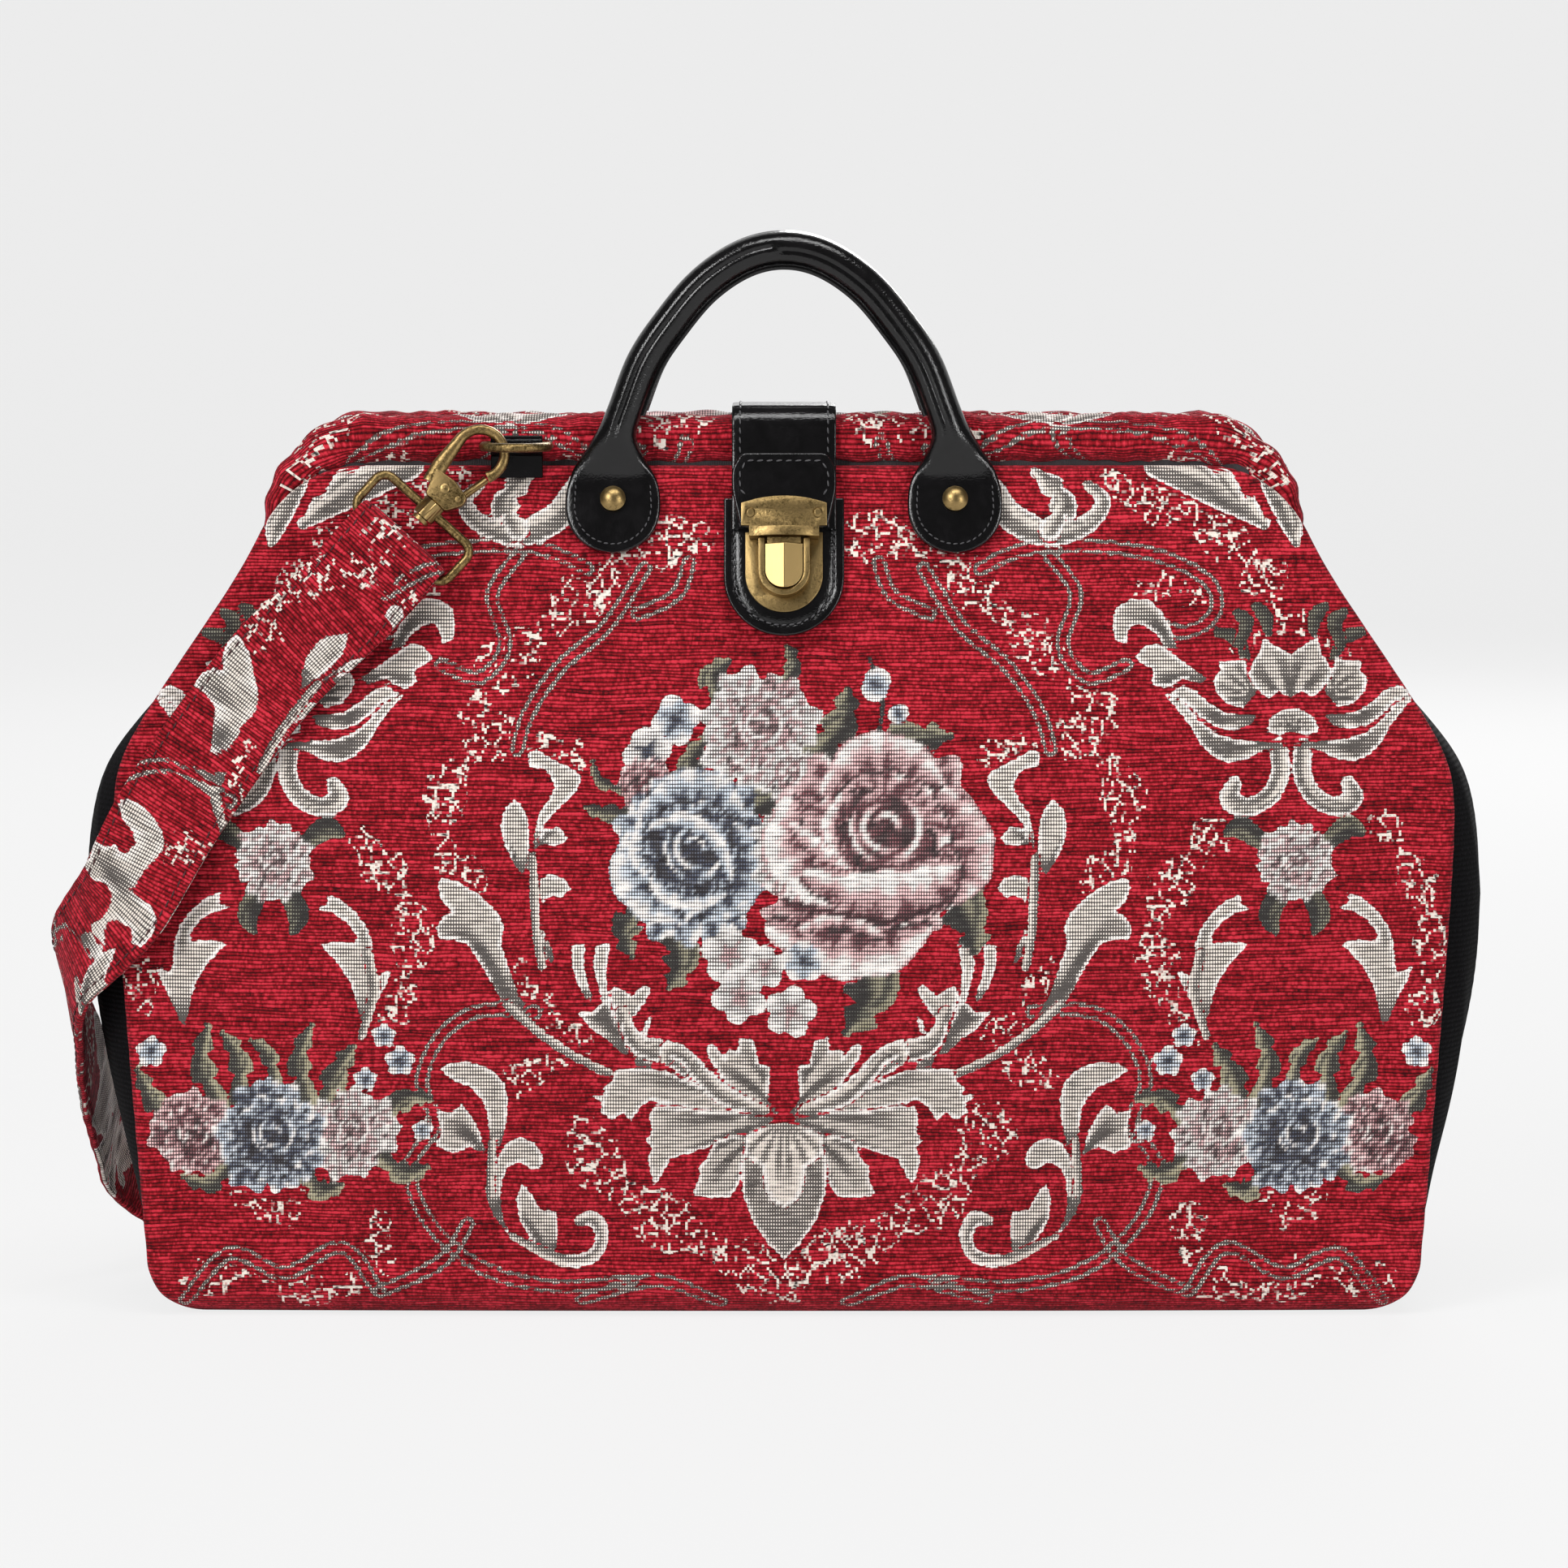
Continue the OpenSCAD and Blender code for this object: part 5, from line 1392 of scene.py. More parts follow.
def make_casings(sizes):
    """Gathered cloth tubes over the frame bars."""
    line = casing_line(sizes.trim_step / MM)
    rows = len(line)
    centre = np.column_stack([line[:, 0], np.full(rows, -CASING_Y), line[:, 1]])
    run = run_of(centre)
    run = run - run[-1] / 2
    for half in ("front", "back"):
        kept = {}

        def place(u, v, shift=226.0 if half == "front" else 150.0):
            i = np.clip(np.rint(u * (rows - 1)).astype(int), 0, rows - 1)
            a = 2 * np.pi * v - np.pi
            share = line[i, 3]
            rn, ry = 5.6 + (CASING_H / 2 - 5.6) * share, 4.4 + (CASING_D / 2 - 4.4) * share
            s = run[i]
            gather = np.sin(s * 0.55 + 1.7 * np.sin(s * 0.11)) * 0.30 + np.sin(s * 0.23 + 2) * 0.22
            corner = np.sin(np.pi * np.clip(line[i, 2] / np.pi, 0, 1)) * (share < 1)
            gather = gather * (1 + 1.2 * corner) - 0.35
            sag = 0.25 * np.sin(3 * a + s * 0.07)
            n = (rn + gather + sag) * swell(np.cos(a), 0.68)
            y = (ry + 0.6 * gather + sag) * swell(np.sin(a), 0.68)
            co = np.column_stack([
                line[i, 0] + n * np.cos(line[i, 2]), y - CASING_Y, line[i, 1] + n * np.sin(line[i, 2])
            ])
            around = v * np.pi * (rn + ry)
            kept["x"], kept["z"] = s * 0.97, shift + around
            return co, np.column_stack([s, around])

        obj = grid(half + "_casing_cloth", rows - 1, 36, place)
        weave_into(obj, kept["x"], kept["z"])
        close(obj)
        if half == "back":
            turn_half(obj)
        finish_mesh(obj, "tapestry", 180)
        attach(obj, half + "_frame")
        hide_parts(half + "_casing")
    for node in ("left_hinge_plate", "right_hinge_plate", "hinge_pins", "front_frame_bar", "back_frame_bar"):
        solid_copy(node, "steel", 0.0002)


# Handles


def handle_stations():
    """Half of a handle from the tab end to its top: x, y, z, width, thickness and roundness."""
    top = HANDLE_TOP - HANDLE_D / 2

    def out(z):
        return float(face_y(TAB_X, z)) + 2.6

    rows = []
    for d in (0.0, 0.4, 1.2, 2.6, 4.6, 7.5, 11, 15):
        wide = TAB_W * math.sqrt(max(0.004, 1 - (max(0, 15 - d) / 15) ** 2.2))
        rows.append((TAB_X, -out(TAB_Z + d), TAB_Z + d, wide, 3.6, 0.32))
    rows += [
        (TAB_X, -out(261) - 0.1, 261, 0.97 * TAB_W, 3.8, 0.34),
        (TAB_X, -out(266) - 0.9, 266, 0.86 * TAB_W, 4.6, 0.5),
        (TAB_X - 0.3, -HANDLE_Y + 0.9, 271, 0.66 * TAB_W, 7.2, 0.8),
        (TAB_X - 0.8, -HANDLE_Y + 0.2, 275.5, 0.5 * TAB_W, 9.6, 0.95),
        (TAB_X - 1.8, -HANDLE_Y, 280, HANDLE_D + 0.8, HANDLE_D, 1.0),
        (TAB_X - 3.9, -HANDLE_Y, 286, HANDLE_D, HANDLE_D, 1.0),
        (TAB_X - 9.5, -HANDLE_Y + 0.8, top - 36, HANDLE_D, HANDLE_D, 1.0),
        (TAB_X - 17, -HANDLE_Y + 1.6, top - 24.5, HANDLE_D, HANDLE_D, 1.0),
        (TAB_X - 28, -HANDLE_Y + 2.6, top - 11.5, HANDLE_D, HANDLE_D, 1.0),
        (TAB_X - 41, -HANDLE_Y + 3.2, top - 2.8, HANDLE_D, HANDLE_D, 1.0),
        (0, -HANDLE_Y + 3.4, top, HANDLE_D, HANDLE_D, 1.0),
    ]
    return rows


def press_furrow(handle, centre, side, out):
    """The seam of the roll: a shallow furrow along the front, off the middle."""
    skip = 3
    co = points_of(handle.data) / MM
    near = np.argmin(np.linalg.norm(co[:, None] - centre[None, ::skip], axis=2), axis=1) * skip
    rel = co - centre[near]
    angle = np.arctan2((rel * out[near]).sum(1), -np.sign(centre[near, 0] + 1e-6) * (rel * side[near]).sum(1))
    rolled = smooth(centre[near, 2], 270, 284)
    furrow = 0.14 * np.exp(-(((angle - 1.75) / 0.11) ** 2)) * rolled
    co = co - rel * furrow[:, None]
    set_points(handle.data, co * MM)


def make_welt(centre, side):
    """Sewn welt along the inside of the arch."""
    arched = centre[:, 2] > 285
    arch, inner = centre[arched], side[arched]
    inward = inner * np.where((inner * (np.array([0, arch[0, 1], 300]) - arch)).sum(1) > 0, 1, -1)[:, None]
    base = arch + inward * (HANDLE_D / 2 + 0.25)
    ones = np.ones(len(base))
    depth = unit(np.cross(inward, unit(np.gradient(base, axis=0))))
    welt = loft("front_handle_welt", base, inward, depth, 0.9 * ones, 1.1 * ones, 0.6 * ones, 12)
    return finish_mesh(welt, "leather", 60)


def tab_stitches(sizes):
    """Border stitches on the tabs."""
    border, round_z, seam_top = 12.1, 256, 263
    runs = []
    for sign in (-1, 1):
        a = np.linspace(-1.0, math.pi + 1.0, 90)
        x, z = border * np.cos(a), round_z - 12.0 * np.sin(a)
        x = np.where(z > round_z, np.sign(x) * (border - 0.06 * (z - round_z)), x)
        keep = z < seam_top
        x, z = x[keep], z[keep]
        y = -(face_y(TAB_X, z) + 2.6 + 1.8)
        points = np.column_stack([sign * TAB_X + x, y, z])
        runs.append((points, np.tile([0.0, -0.96, 0.28], (len(points), 1))))
    return stitches("front_tab_stitches", runs, sizes, pitch=0.0021, long=0.0016, thick=0.00055, lift=0.05)


def make_handles(sizes):
    """Rolled leather handles with a sewn welt, flat stitched tabs and dome rivets."""
    rows = handle_stations()
    rows = rows + [(-x, *rest) for x, *rest in reversed(rows[:-1])]
    path = spline(rows, 9)
    centre, wide, thick, power = path[:, :3], path[:, 3] / 2, path[:, 4] / 2, np.clip(path[:, 5], 0.3, 1)
    along = unit(np.gradient(centre, axis=0))
    front = np.array([0.0, -1.0, 0.0])
    out = unit(front - along * (along @ front)[:, None])
    side = np.cross(out, along)
    handle = loft("front_handle_leather", centre, side, out, wide, thick, power, 40)
    press_furrow(handle, centre, side, out)
    finish_mesh(handle, "leather", 60)
    welt = make_welt(centre, side)
    seam = tab_stitches(sizes)
    groups = {"front": (handle, welt, seam)}
    groups["back"] = tuple(back_copy(o, o.name.replace("front", "back")) for o in groups["front"])
    for half, pieces in groups.items():
        for obj in pieces:
            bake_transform(obj)
        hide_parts(half + "_handle")
        solid_copy(half + "_handle_rivets", "antique_brass", 0.00015, material="rubbed_brass")


# Closure and lock

LOCK_LEAN = math.atan((float(mid_y(LOCK_Z - 20)) - float(mid_y(LOCK_Z + 20))) / 40)


def lock_point(x, s, n):
    """A point x across, s up and n out from the plane of the lock."""
    x, s, n = np.broadcast_arrays(np.asarray(x, float), s, n)
    y = -float(mid_y(LOCK_Z)) + s * math.sin(LOCK_LEAN) - n * math.cos(LOCK_LEAN)
    z = LOCK_Z + s * math.cos(LOCK_LEAN) + n * math.sin(LOCK_LEAN)
    return np.column_stack([x.ravel(), y.ravel(), z.ravel()])


LOCK_OUT = np.array([0.0, -math.cos(LOCK_LEAN), math.sin(LOCK_LEAN)])


def plate(name, outline, place, move, edge, steps=()):
    """A flat piece from a disc pulled to an outline, pushed out by move, with round edges and inset steps."""
    clear()
    bpy.ops.mesh.primitive_circle_add(vertices=len(outline), radius=1, fill_type="NGON")
    obj = bpy.context.object
    obj.name = obj.data.name = name
    set_points(obj.data, np.array([place(x, s) for x, s in outline]) * MM)
    take(obj)
    bpy.ops.object.mode_set(mode="EDIT")
    bpy.ops.mesh.select_all(action="SELECT")
    bpy.ops.mesh.extrude_region_move(TRANSFORM_OT_translate={"value": tuple(np.asarray(move) * MM)})
    one, two = np.diff([place(*outline[k]) for k in (0, len(outline) // 3, -1)], axis=0)
    turned = np.dot(np.asarray(move), np.cross(one, two))
    for wide, rise in steps:
        bpy.ops.mesh.inset(thickness=wide, depth=rise if turned > 0 else -rise)
    bpy.ops.mesh.select_all(action="SELECT")
    bpy.ops.mesh.normals_make_consistent(inside=False)
    bpy.ops.object.mode_set(mode="OBJECT")
    mod = obj.modifiers.new("edge", "BEVEL")
    mod.width, mod.segments, mod.limit_method, mod.angle_limit = edge, 4, "ANGLE", math.radians(50)
    apply_all(obj)
    return obj


def leather_plate(name, outline, low, thick, edge, steps=()):
    """A plate of leather on the plane of the lock."""
    obj = plate(name, outline, lambda x, s: lock_point(x, s, low)[0], LOCK_OUT * thick, edge, steps)
    return finish_mesh(obj, "leather", 45)


def tongue(wide, top, low, steps=28):
    """Outline of a plate with a round lower end, turning left from its top right corner."""
    r = wide / 2
    a = np.linspace(0, -math.pi, steps)
    arc = np.column_stack([r * np.cos(a), low + r + r * np.sin(a)])
    return np.vstack([[r, top], arc, [-r, top]])[::-1]


def rounded(corners, radius, steps=6):
    """A convex outline with its corners rounded."""
    c = np.asarray(corners, float)
    out = []
    for a, b, d in zip(np.roll(c, 1, 0), c, np.roll(c, -1, 0)):
        p, q = b + unit(a - b) * radius, b + unit(d - b) * radius
        t = np.linspace(0, 1, steps)[:, None]
        out.append((1 - t) ** 2 * p + 2 * t * (1 - t) * b + t**2 * q)
    return np.vstack(out)


def closure_line():
    """The bent line of the closure strap, y and z, from over the lock to the back seam."""
    n = STRAP_N + LEATHER / 2
    start = [lock_point(0, s, n)[0, 1:] for s in (11.8, 22)]
    turn = np.radians(np.arange(0, 91, 15))
    over = [(-TOP_Y + BEND_R - BEND_R * math.cos(a), TOP_Z - BEND_R + BEND_R * math.sin(a)) for a in turn]
    down = [(-y, z) for y, z in reversed(over)]
    back = float(mid_y(SEAM_Z - 4)) + LEATHER / 2 + 0.3
    rise, fall = [(-TOP_Y - 1.6, SEAM_Z + 3)], [(TOP_Y, SEAM_Z + 3), (back, SEAM_Z - 4)]
    return np.array(start + rise + over + down + fall)


PILLOW = ((0.0026, 0.0), (0.0005, -0.00025), (0.0005, 0.00025), (0.001, 0.0004), (0.0016, 0.0002))


def closure_strap(sizes):
    """Leather strap over the top, with sewn edges."""
    line = spline(closure_line(), 8)
    s = run_of(line)
    even = np.linspace(0, s[-1], 150)
    yz = at_run(line, even, line)
    centre = np.column_stack([np.zeros(len(yz)), yz])
    along = unit(np.gradient(centre, axis=0))
    across = np.tile([1.0, 0.0, 0.0], (len(yz), 1))
    out = np.cross(across, along)
    ones = np.ones(len(yz))
    # A flat band: the loft's rounded ends are drawn out flat by its power
    wide, thick = CLOSURE_W / 2 * ones, LEATHER / 2 * ones
    strap = loft("closure_strap_leather", centre, across, out, wide, thick, 0.28 * ones, 48)
    finish_mesh(strap, "leather", 50)
    runs = []
    for sign in (-1, 1):
        points = centre + out * (LEATHER / 2) + across * sign * (CLOSURE_W / 2 - 2.6)
        runs.append((points, out))
    seam = stitches("closure_strap_stitches", runs, sizes)
    for obj in (strap, seam):
        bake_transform(obj)
    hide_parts("closure_strap")


def closure_tab(sizes):
    """Stitched tab at the end of the strap, which holds the strike."""
    h = CLOSURE_W / 2
    right = [(13.8, 11.8), (h, 24), (h, 30.5), (h - 3, 36)]
    corners = [(-13.8, 11.8), *right, (3 - h, 36), (-h, 30.5), (-h, 24)]
    tab = leather_plate("closure_tab_leather", rounded(corners, 1.8), TAB_N, LEATHER, 0.0007)
    inner = rounded([(-11.6, 21.5), (-h + 2.6, 24.2), (-h + 2.6, 29.6), (-h + 4.6, 33.3), (h - 4.6, 33.3),
                     (h - 2.6, 29.6), (h - 2.6, 24.2), (11.6, 21.5)], 1.0)
    path = lock_point(inner[:, 0], inner[:, 1], TAB_N + LEATHER)
    keep = inner[:, 1] > 21.8
    tab_seam = stitches("closure_tab_stitches", [(path[keep], np.tile(LOCK_OUT, (keep.sum(), 1)))], sizes)
    for obj in (tab, tab_seam):
        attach(obj, "flap")
    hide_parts("closure_tab")


def lock_patch(sizes):
    """Padded patch under the lock, with a sewn edge."""
    patch = leather_plate("lock_patch_leather", tongue(PATCH_W, 22.4, -22), PATCH_N, LEATHER, 0.0008, PILLOW)
    edge = tongue(PATCH_W - 6.4, 22, -18.8, 40)
    path = lock_point(edge[:, 0], edge[:, 1], PATCH_N + LEATHER)
    runs = [(path, np.tile(LOCK_OUT, (len(path), 1)))]
    patch_seam = stitches("lock_patch_stitches", runs, sizes, pitch=0.0024, long=0.0019)
    for obj in (patch, patch_seam):
        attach(obj, "front_frame")
    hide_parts("lock_patch")


def make_closure(sizes):
    """The leather of the closure."""
    closure_strap(sizes)
    closure_tab(sizes)
    lock_patch(sizes)


def make_lock(sizes):
    """Push lock and strike of antique brass."""
    for node in ("strike_plate", "lock_plate", "lock_housing"):
        solid_copy(node, "antique_brass", sizes.metal_edge)
    for node in ("strike_rivets", "lock_button"):
        solid_copy(node, "antique_brass", 0.00012, 12, 10, "rubbed_brass")


# Rings, hooks and shoulder strap


def cast_hook(name, half):
    """A teardrop hook, broad at its body and slim at its nose, with the swivel stem and a riveted body."""
    way = math.radians(188.9)
    a = np.linspace(way, math.radians(-30), 46)
    ring = np.column_stack([EYE_R * np.cos(a), EYE_U + EYE_R * np.sin(a)])
    line = np.vstack([[(-5.6, -1.0), (-6.2, 2.0), (-6.9, 5.0)], ring])
    run = run_of(line)
    even = np.linspace(0, run[-1], 90)
    line = at_run(line, even, line)
    centre = np.array([hook_point(u, 0, w) for w, u in line])
    along = unit(np.gradient(centre, axis=0))
    out = np.tile(hook_point(0, -1) - hook_point(0, 0), (len(centre), 1))
    side = np.cross(out, along)
    share = even / even[-1]
    wide = 2.7 - 1.1 * smooth(share, 0.05, 0.5) + 0.25 * smooth(share, 0.94, 1.0)
    thick = 2.2 - 0.65 * smooth(share, 0.1, 0.6)
    eye = loft(name + "_eye", centre, side, out, wide, thick, np.full(90, 0.86), 22)
    corners = [(-7.3, 3.6), (-4.2, -4.9), (4.2, -4.9), (7.3, 0.2), (6.6, 3.0), (0.5, 4.4)]
    deep = 4.6
    through = hook_point(0, -deep) - hook_point(0, 0)
    outline = rounded(corners, 1.2)
    body = plate(name + "_body", outline, lambda w, u: hook_point(u, deep / 2, w), through, 0.0009)
    stem_line = [hook_point(u, 0) for u in (-4.0, -11.2, -11.2, -12.4, -12.4)]
    stem = tube(name + "_stem", stem_line, (1.8, 1.8, 2.9, 2.9, 0.1), side[0])
    rivet_line = [hook_point(0.4, n, -0.6) for n in (-1.8, -2.55, -2.75, -2.8)]
    rivet = tube(name + "_rivet", rivet_line, (1.5, 1.5, 1.1, 0.1), side[0])
    for obj in (eye, body, stem, rivet):
        finish_mesh(obj, "antique_brass", 40)
    obj = joined(name, (eye, body, stem, rivet))
    if half == "back":
        turn_half(obj)
    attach(obj, half + "_clip")
    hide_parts(half + "_hook")


def make_hardware(sizes):
    """Rings in leather loops, swivel hooks with gates and strap loops."""
    for half in ("front", "back"):
        cast_hook(half + "_hook_cast", half)
        for part in ("ring", "hook_gate", "gate_pin", "strap_loop"):
            solid_copy(f"{half}_{part}", "antique_brass", sizes.metal_edge if part == "gate_pin" else 0)
        # The ring loops take the leather copy that reflects less, as painted shade
        solid_copy(half + "_ring_loop", "leather", 0.0004, material="painted_shade_leather")


def swung(p):
    y, z = p[1] - RING[1], p[2] - RING[2]
    c, s = math.cos(SWING), math.sin(SWING)
    return np.array([p[0], y * c - z * s + RING[1], y * s + z * c + RING[2]])


def hook_point(u, n, w=0.0):
    """A point of the hook: u along its axis, n towards the back and w across."""
    c, s = math.cos(HOOK_TURN), math.sin(HOOK_TURN)
    return swung(HOOK + np.array([u * s + w * c, n, u * c - w * s]))


def strap_wrap():
    """Fold of the strap round the front loop: points and outward directions."""
    r = WIRE / 2 + 0.3 + STRAP_T / 2
    rows = [
        (hook_point(LOOP_U - 26, STRAP_T / 2 + 0.25), (0, 1, 0)),
        (hook_point(LOOP_U - 13, STRAP_T / 2 + 0.9), (0, 1, 0)),
    ]
    for a in np.radians(np.arange(0, 181, 30)):
        away = unit(hook_point(math.sin(a), math.cos(a)) - hook_point(0, 0))
        rows.append((hook_point(LOOP_U + r * math.sin(a), r * math.cos(a)), tuple(away)))
    rows.append((hook_point(LOOP_U - 13, -STRAP_T / 2 - 0.9), (0, -1, 0)))
    rows.append((hook_point(LOOP_U - 26, -STRAP_T / 2 - 0.25), (0, -1, 0)))
    return rows


def strap_route():
    """Points and outward directions of the strap from the front left hook to the back right one."""

    def over(x, z):
        return float(face_y(x, z)) + STRAP_T / 2 + 1

    def side_x(z):
        return float(half_w(z)) + 15 + STRAP_T / 2 + 1

    def edge(z):
        return float(edge_y(z))

    w, b, low, back = 212.0, 200.5, STRAP_T / 2 + 0.3, 85.0
    rows = strap_wrap() + [
        ((-0.755 * w, -over(160, 205) - 2, 205), (-0.05, -1, 0)),
        ((-0.84 * w, -over(178, 182) - 1, 182), (-0.1, -1, 0)),
        ((-0.92 * w, -over(195, 157) - 0.5, 157), (-0.15, -1, 0)),
        ((-0.985 * w, -edge(132) - STRAP_T - 0.5, 132), (-0.45, -0.9, 0)),
        ((-side_x(110) + 0.5, -0.75 * edge(110), 110), (-0.85, -0.5, 0)),
        ((-side_x(90) - 1, -0.25 * edge(90), 90), (-1, -0.15, 0)),
        ((-side_x(72) - 1, 0.2 * edge(72), 72), (-1, 0.1, 0)),
        ((-side_x(54), 0.65 * edge(54), 54), (-1, 0.2, 0)),
        ((-side_x(36) + 1, edge(36) + 6, 36), (-0.95, 0.3, -0.1)),
        ((-b - 4, back - 20, 18), (-0.85, 0.2, -0.35)),
        ((-b + 18, back - 8, 6.5), (-0.45, 0, -0.9)),
        ((-0.75 * b, back - 2, low), (0, 0, -1)),
        ((-0.5 * b, back, low), (0, 0, -1)),
        ((-0.2 * b, back + 1, low), (0, 0, -1)),
        ((0.15 * b, back + 1, low), (0, 0, -1)),
        ((0.45 * b, back - 1, low), (0.05, 0, -1)),
        ((0.67 * b, back - 6, 6), (0.4, 0.1, -0.9)),
        ((0.82 * b, back - 15, 21), (0.8, 0.5, -0.35)),
        ((0.88 * b, back - 24, 52), (0.5, 0.87, 0)),
        ((0.87 * b, over(174, 95) + 4, 95), (0.15, 1, 0)),
        ((0.83 * b, over(166, 140) + 3, 140), (0.05, 1, 0)),
        ((0.79 * b, over(158, 180) + 3, 180), (0, 1, 0)),
        ((0.74 * b, over(148, 206) + 3.5, 206), (0, 1, 0)),
    ]
    rows += [((-p[0], -p[1], p[2]), (-n[0], -n[1], n[2])) for p, n in reversed(strap_wrap())]
    return np.array([np.concatenate([p, n]) for p, n in rows])


def make_strap(sizes):
    """Shoulder strap of folded tapestry with sewn edges, in two lengths that meet behind the bag."""
    fine = spline(strap_route(), 12)
    run = run_of(fine[:, :3])
    step = sizes.trim_step / MM
    even = np.linspace(0, run[-1], int(run[-1] / step))
    path = at_run(fine[:, :3], even, fine)
    centre = path[:, :3]
    along = unit(np.gradient(centre, axis=0))
    across = unit(np.cross(path[:, 3:], along))
    out = np.cross(along, across)
    split = int(np.argmin(np.abs(centre[:, 0]) + np.where(centre[:, 2] < 5, 0, 1e4)))
    for half, part in (("front", slice(0, split + 1)), ("back", slice(split, len(even)))):
        c, a, o, s = centre[part], across[part], out[part], even[part]
        rows = len(c)
        kept = {}

        def place(u, v):
            i = np.clip(np.rint(u * (rows - 1)).astype(int), 0, rows - 1)
            t = 2 * np.pi * v - np.pi
            wide = STRAP_W / 2 * swell(np.cos(t), 0.34)
            wave = 0.12 * np.sin(s[i] * 0.31) + 0.1 * np.sin(s[i] * 0.83 + 1)
            near = np.abs(wide) / (STRAP_W / 2)
            dent = 0.35 * np.exp(-(((near - 0.84) / 0.05) ** 2))
            thick = (STRAP_T / 2 - dent) * swell(np.sin(t), 0.5)
            co = c[i] + a[i] * wide[:, None] + o[i] * (thick + wave)[:, None]
            w = np.where(np.sin(t) > 0, wide, -wide + 80)
            fold = np.abs((s[i] * 0.98 + 30) % 520 - 260)
            kept["x"], kept["z"] = w - 92, fold
            return co, np.column_stack([w, s[i]])

        obj = grid(half + "_strap_cloth", rows - 1, 60, place)
        weave_into(obj, kept["x"], kept["z"])
        close(obj)
        finish_mesh(obj, "tapestry", 80)
        runs = [(c + a * k * (STRAP_W / 2 - 2.9) + o * (STRAP_T / 2 - 0.2), o) for k in (-1, 1)]
        seam = stitches(half + "_strap_stitches", runs, sizes, 0.0036, 0.0028, 0.0006, lift=0.0)
        seam.data.materials.clear()
        seam.data.materials.append(finish("red_thread"))
        for piece in (obj, seam):
            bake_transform(piece)
        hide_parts("shoulder_strap")


# Stage


def make_floor(tint):
    """Pale floor that runs up into a backdrop."""
    clear()
    bpy.ops.mesh.primitive_plane_add(size=24, location=(0, -8, 0))
    floor = bpy.context.object
    floor.name = "floor"
    bpy.ops.object.transform_apply(location=True)
    bpy.ops.object.mode_set(mode="EDIT")
    bpy.ops.mesh.select_all(action="DESELECT")
    bpy.ops.object.mode_set(mode="OBJECT")
    for edge in floor.data.edges:
        edge.select = all(floor.data.vertices[i].co.y > 3.9 for i in edge.vertices)
    bpy.ops.object.mode_set(mode="EDIT")
    bpy.ops.mesh.select_mode(type="EDGE")
    bpy.ops.mesh.extrude_region_move(TRANSFORM_OT_translate={"value": (0, 0, 6)})
    bpy.ops.object.mode_set(mode="OBJECT")
    mod = floor.modifiers.new("sweep", "BEVEL")
    mod.width, mod.segments, mod.limit_method = 1.6, 16, "ANGLE"
    apply_all(floor)
    bpy.ops.object.shade_smooth()
    f = Finish("floor")
    ray = f.tree.nodes.new("ShaderNodeLightPath")
    glow = f.tree.nodes.new("ShaderNodeEmission")
    glow.inputs[0].default_value = (*tint.floor, 1)
    mix = f.tree.nodes.new("ShaderNodeMixShader")
    seen = f.math("MAXIMUM", ray.outputs["Is Camera Ray"], ray.outputs["Is Glossy Ray"])
    seen = f.math("MAXIMUM", seen, ray.outputs["Is Transmission Ray"])
    f.put(mix.inputs[0], f.math("MULTIPLY", seen, 0.9))
    f.put(mix.inputs[1], f.skin.outputs[0])
    f.put(mix.inputs[2], glow.outputs[0])
    f.put(f.tree.nodes["Material Output"].inputs[0], mix.outputs[0])
    f.skin_is(Base_Color=tuple(tint.floor), Roughness=0.9, Specular_IOR_Level=0.1)
    floor.data.materials.append(f.mat)


def make_lamps(scene):
    """Faint white surroundings and soft lamps."""
    scene.world = bpy.data.worlds.new("studio")
    scene.world.use_nodes = True
    scene.world.node_tree.nodes["Background"].inputs[0].default_value = (1, 1, 1, 1)
    scene.world.node_tree.nodes["Background"].inputs[1].default_value = 0.13
    for name, at, aim, size, power in (
        ("key", (-1.2, -1.5, 1.5), (0, 0, 0.16), (0.7, 0.9), 26),
        ("fill", (1.5, -1.5, 0.7), (0, 0, 0.16), (0.35, 1.2), 15),
        ("strip", (-1.0, -1.7, 0.6), (0, 0, 0.2), (0.12, 1.1), 7),
        ("top", (0.1, -0.5, 1.7), (0, 0, 0.2), (1.2, 0.4), 15),
        ("back", (0.5, 2.0, 1.2), (0, 0, 0.16), (1.0, 0.9), 36),
    ):
        lamp = bpy.data.lights.new(name, "AREA")
        lamp.shape, lamp.size, lamp.size_y, lamp.energy = "RECTANGLE", *size, power
        obj = bpy.data.objects.new(name, lamp)
        obj.location = at
        obj.rotation_euler = (Vector(aim) - Vector(at)).to_track_quat("-Z", "Y").to_euler()
        bpy.context.collection.objects.link(obj)


def make_camera(scene):
    """Camera in front of the bag, a little above it."""
    cam = bpy.data.cameras.new("camera")
    sensor, lens, seen_wide = 36.0, 132.0, 0.4916
    cam.sensor_width, cam.lens = sensor, lens
    obj = bpy.data.objects.new("camera", cam)
    aim = Vector((0.0, -0.047, 0.1697))
    rise, far = math.radians(6.0), seen_wide * lens / sensor
    obj.location = aim + Vector((0, -far * math.cos(rise), far * math.sin(rise)))
    obj.rotation_euler = (aim - obj.location).to_track_quat("-Z", "Y").to_euler()
    bpy.context.collection.objects.link(obj)
    scene.camera = obj


def make_stage(scene):
    """Floor, lamps and camera."""
    scene.view_settings.view_transform = "Standard"
    make_floor(scene.bag_colours)
    make_lamps(scene)
    make_camera(scene)


class BAG_OT_stage(bpy.types.Operator):
    """Floor, backdrop, lamps and camera"""

    bl_idname = "bag.stage"
    bl_label = "Stage"

    def execute(self, context):
        make_stage(context.scene)
        return {"FINISHED"}


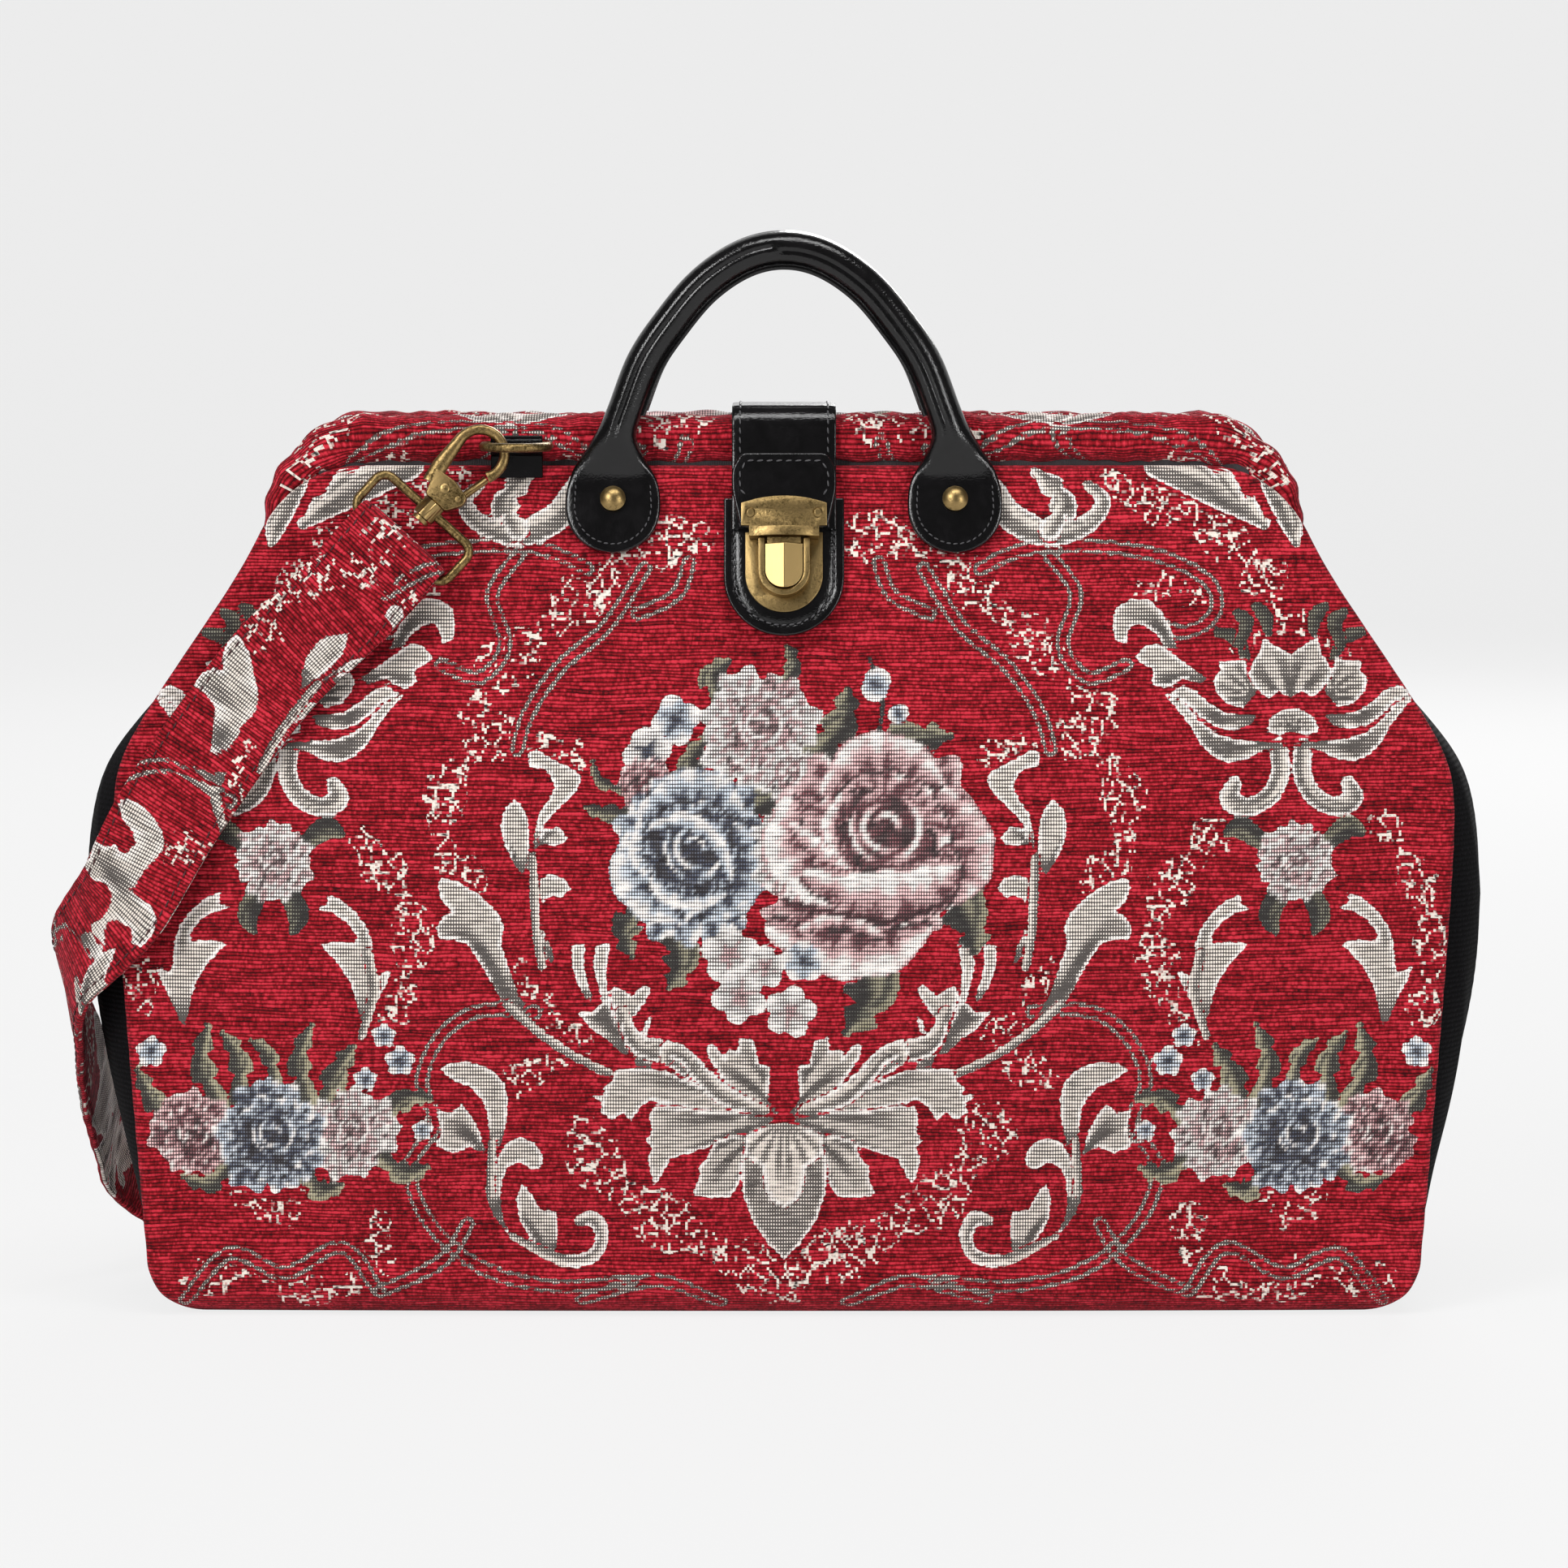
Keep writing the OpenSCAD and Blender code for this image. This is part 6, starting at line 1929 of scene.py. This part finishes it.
class BAG_OT_panels(bpy.types.Operator):
    """Padded front and back panels with the woven ornament"""

    bl_idname = "bag.panels"
    bl_label = "Panels"

    def execute(self, context):
        make_panels(context.scene.bag_sizes)
        return {"FINISHED"}


class BAG_OT_sides(bpy.types.Operator):
    """Black gussets and base"""

    bl_idname = "bag.sides"
    bl_label = "Sides and Base"

    def execute(self, context):
        make_sides()
        make_base()
        return {"FINISHED"}


class BAG_OT_inside(bpy.types.Operator):
    """Lining, divider and board"""

    bl_idname = "bag.inside"
    bl_label = "Inside"

    def execute(self, context):
        make_inside()
        return {"FINISHED"}


class BAG_OT_casings(bpy.types.Operator):
    """Cloth casings over the hinged frame"""

    bl_idname = "bag.casings"
    bl_label = "Frame Casings"

    def execute(self, context):
        make_casings(context.scene.bag_sizes)
        return {"FINISHED"}


class BAG_OT_handles(bpy.types.Operator):
    """Rolled handles, tabs, stitches and rivets"""

    bl_idname = "bag.handles"
    bl_label = "Handles"

    def execute(self, context):
        make_handles(context.scene.bag_sizes)
        return {"FINISHED"}


class BAG_OT_closure(bpy.types.Operator):
    """Closure strap, tab, patch and push lock"""

    bl_idname = "bag.closure"
    bl_label = "Closure and Lock"

    def execute(self, context):
        make_closure(context.scene.bag_sizes)
        make_lock(context.scene.bag_sizes)
        return {"FINISHED"}


class BAG_OT_hardware(bpy.types.Operator):
    """Rings, hooks and strap loops"""

    bl_idname = "bag.hardware"
    bl_label = "Rings and Hooks"

    def execute(self, context):
        make_hardware(context.scene.bag_sizes)
        return {"FINISHED"}


class BAG_OT_strap(bpy.types.Operator):
    """Shoulder strap with its sewn edges"""

    bl_idname = "bag.strap"
    bl_label = "Shoulder Strap"

    def execute(self, context):
        make_strap(context.scene.bag_sizes)
        return {"FINISHED"}


OPERATORS = (
    BAG_OT_stage, BAG_OT_strap, BAG_OT_panels, BAG_OT_sides, BAG_OT_inside,
    BAG_OT_casings, BAG_OT_handles, BAG_OT_closure, BAG_OT_hardware,
)


class BAG_PT_panel(bpy.types.Panel):
    """Makes the bag piece by piece"""

    bl_idname = "BAG_PT_panel"
    bl_label = "Frame Bag"
    bl_space_type = "VIEW_3D"
    bl_region_type = "UI"
    bl_category = "Frame Bag"

    def draw(self, context):
        for group in (context.scene.bag_sizes, context.scene.bag_colours):
            for key in group.__annotations__:
                self.layout.prop(group, key)
        for operator in OPERATORS:
            self.layout.operator(operator.bl_idname)


CLASSES = (BagSizes, BagColours, *OPERATORS, BAG_PT_panel)


def register():
    for cls in CLASSES:
        bpy.utils.register_class(cls)
    bpy.types.Scene.bag_sizes = bpy.props.PointerProperty(type=BagSizes)
    bpy.types.Scene.bag_colours = bpy.props.PointerProperty(type=BagColours)


def unregister():
    del bpy.types.Scene.bag_colours
    del bpy.types.Scene.bag_sizes
    for cls in reversed(CLASSES):
        bpy.utils.unregister_class(cls)


def main():
    register()
    bpy.ops.bag.stage()
    bpy.ops.bag.strap()
    bpy.ops.bag.panels()
    bpy.ops.bag.sides()
    bpy.ops.bag.inside()
    bpy.ops.bag.casings()
    bpy.ops.bag.handles()
    bpy.ops.bag.closure()
    bpy.ops.bag.hardware()


if __name__ == "__main__":
    main()
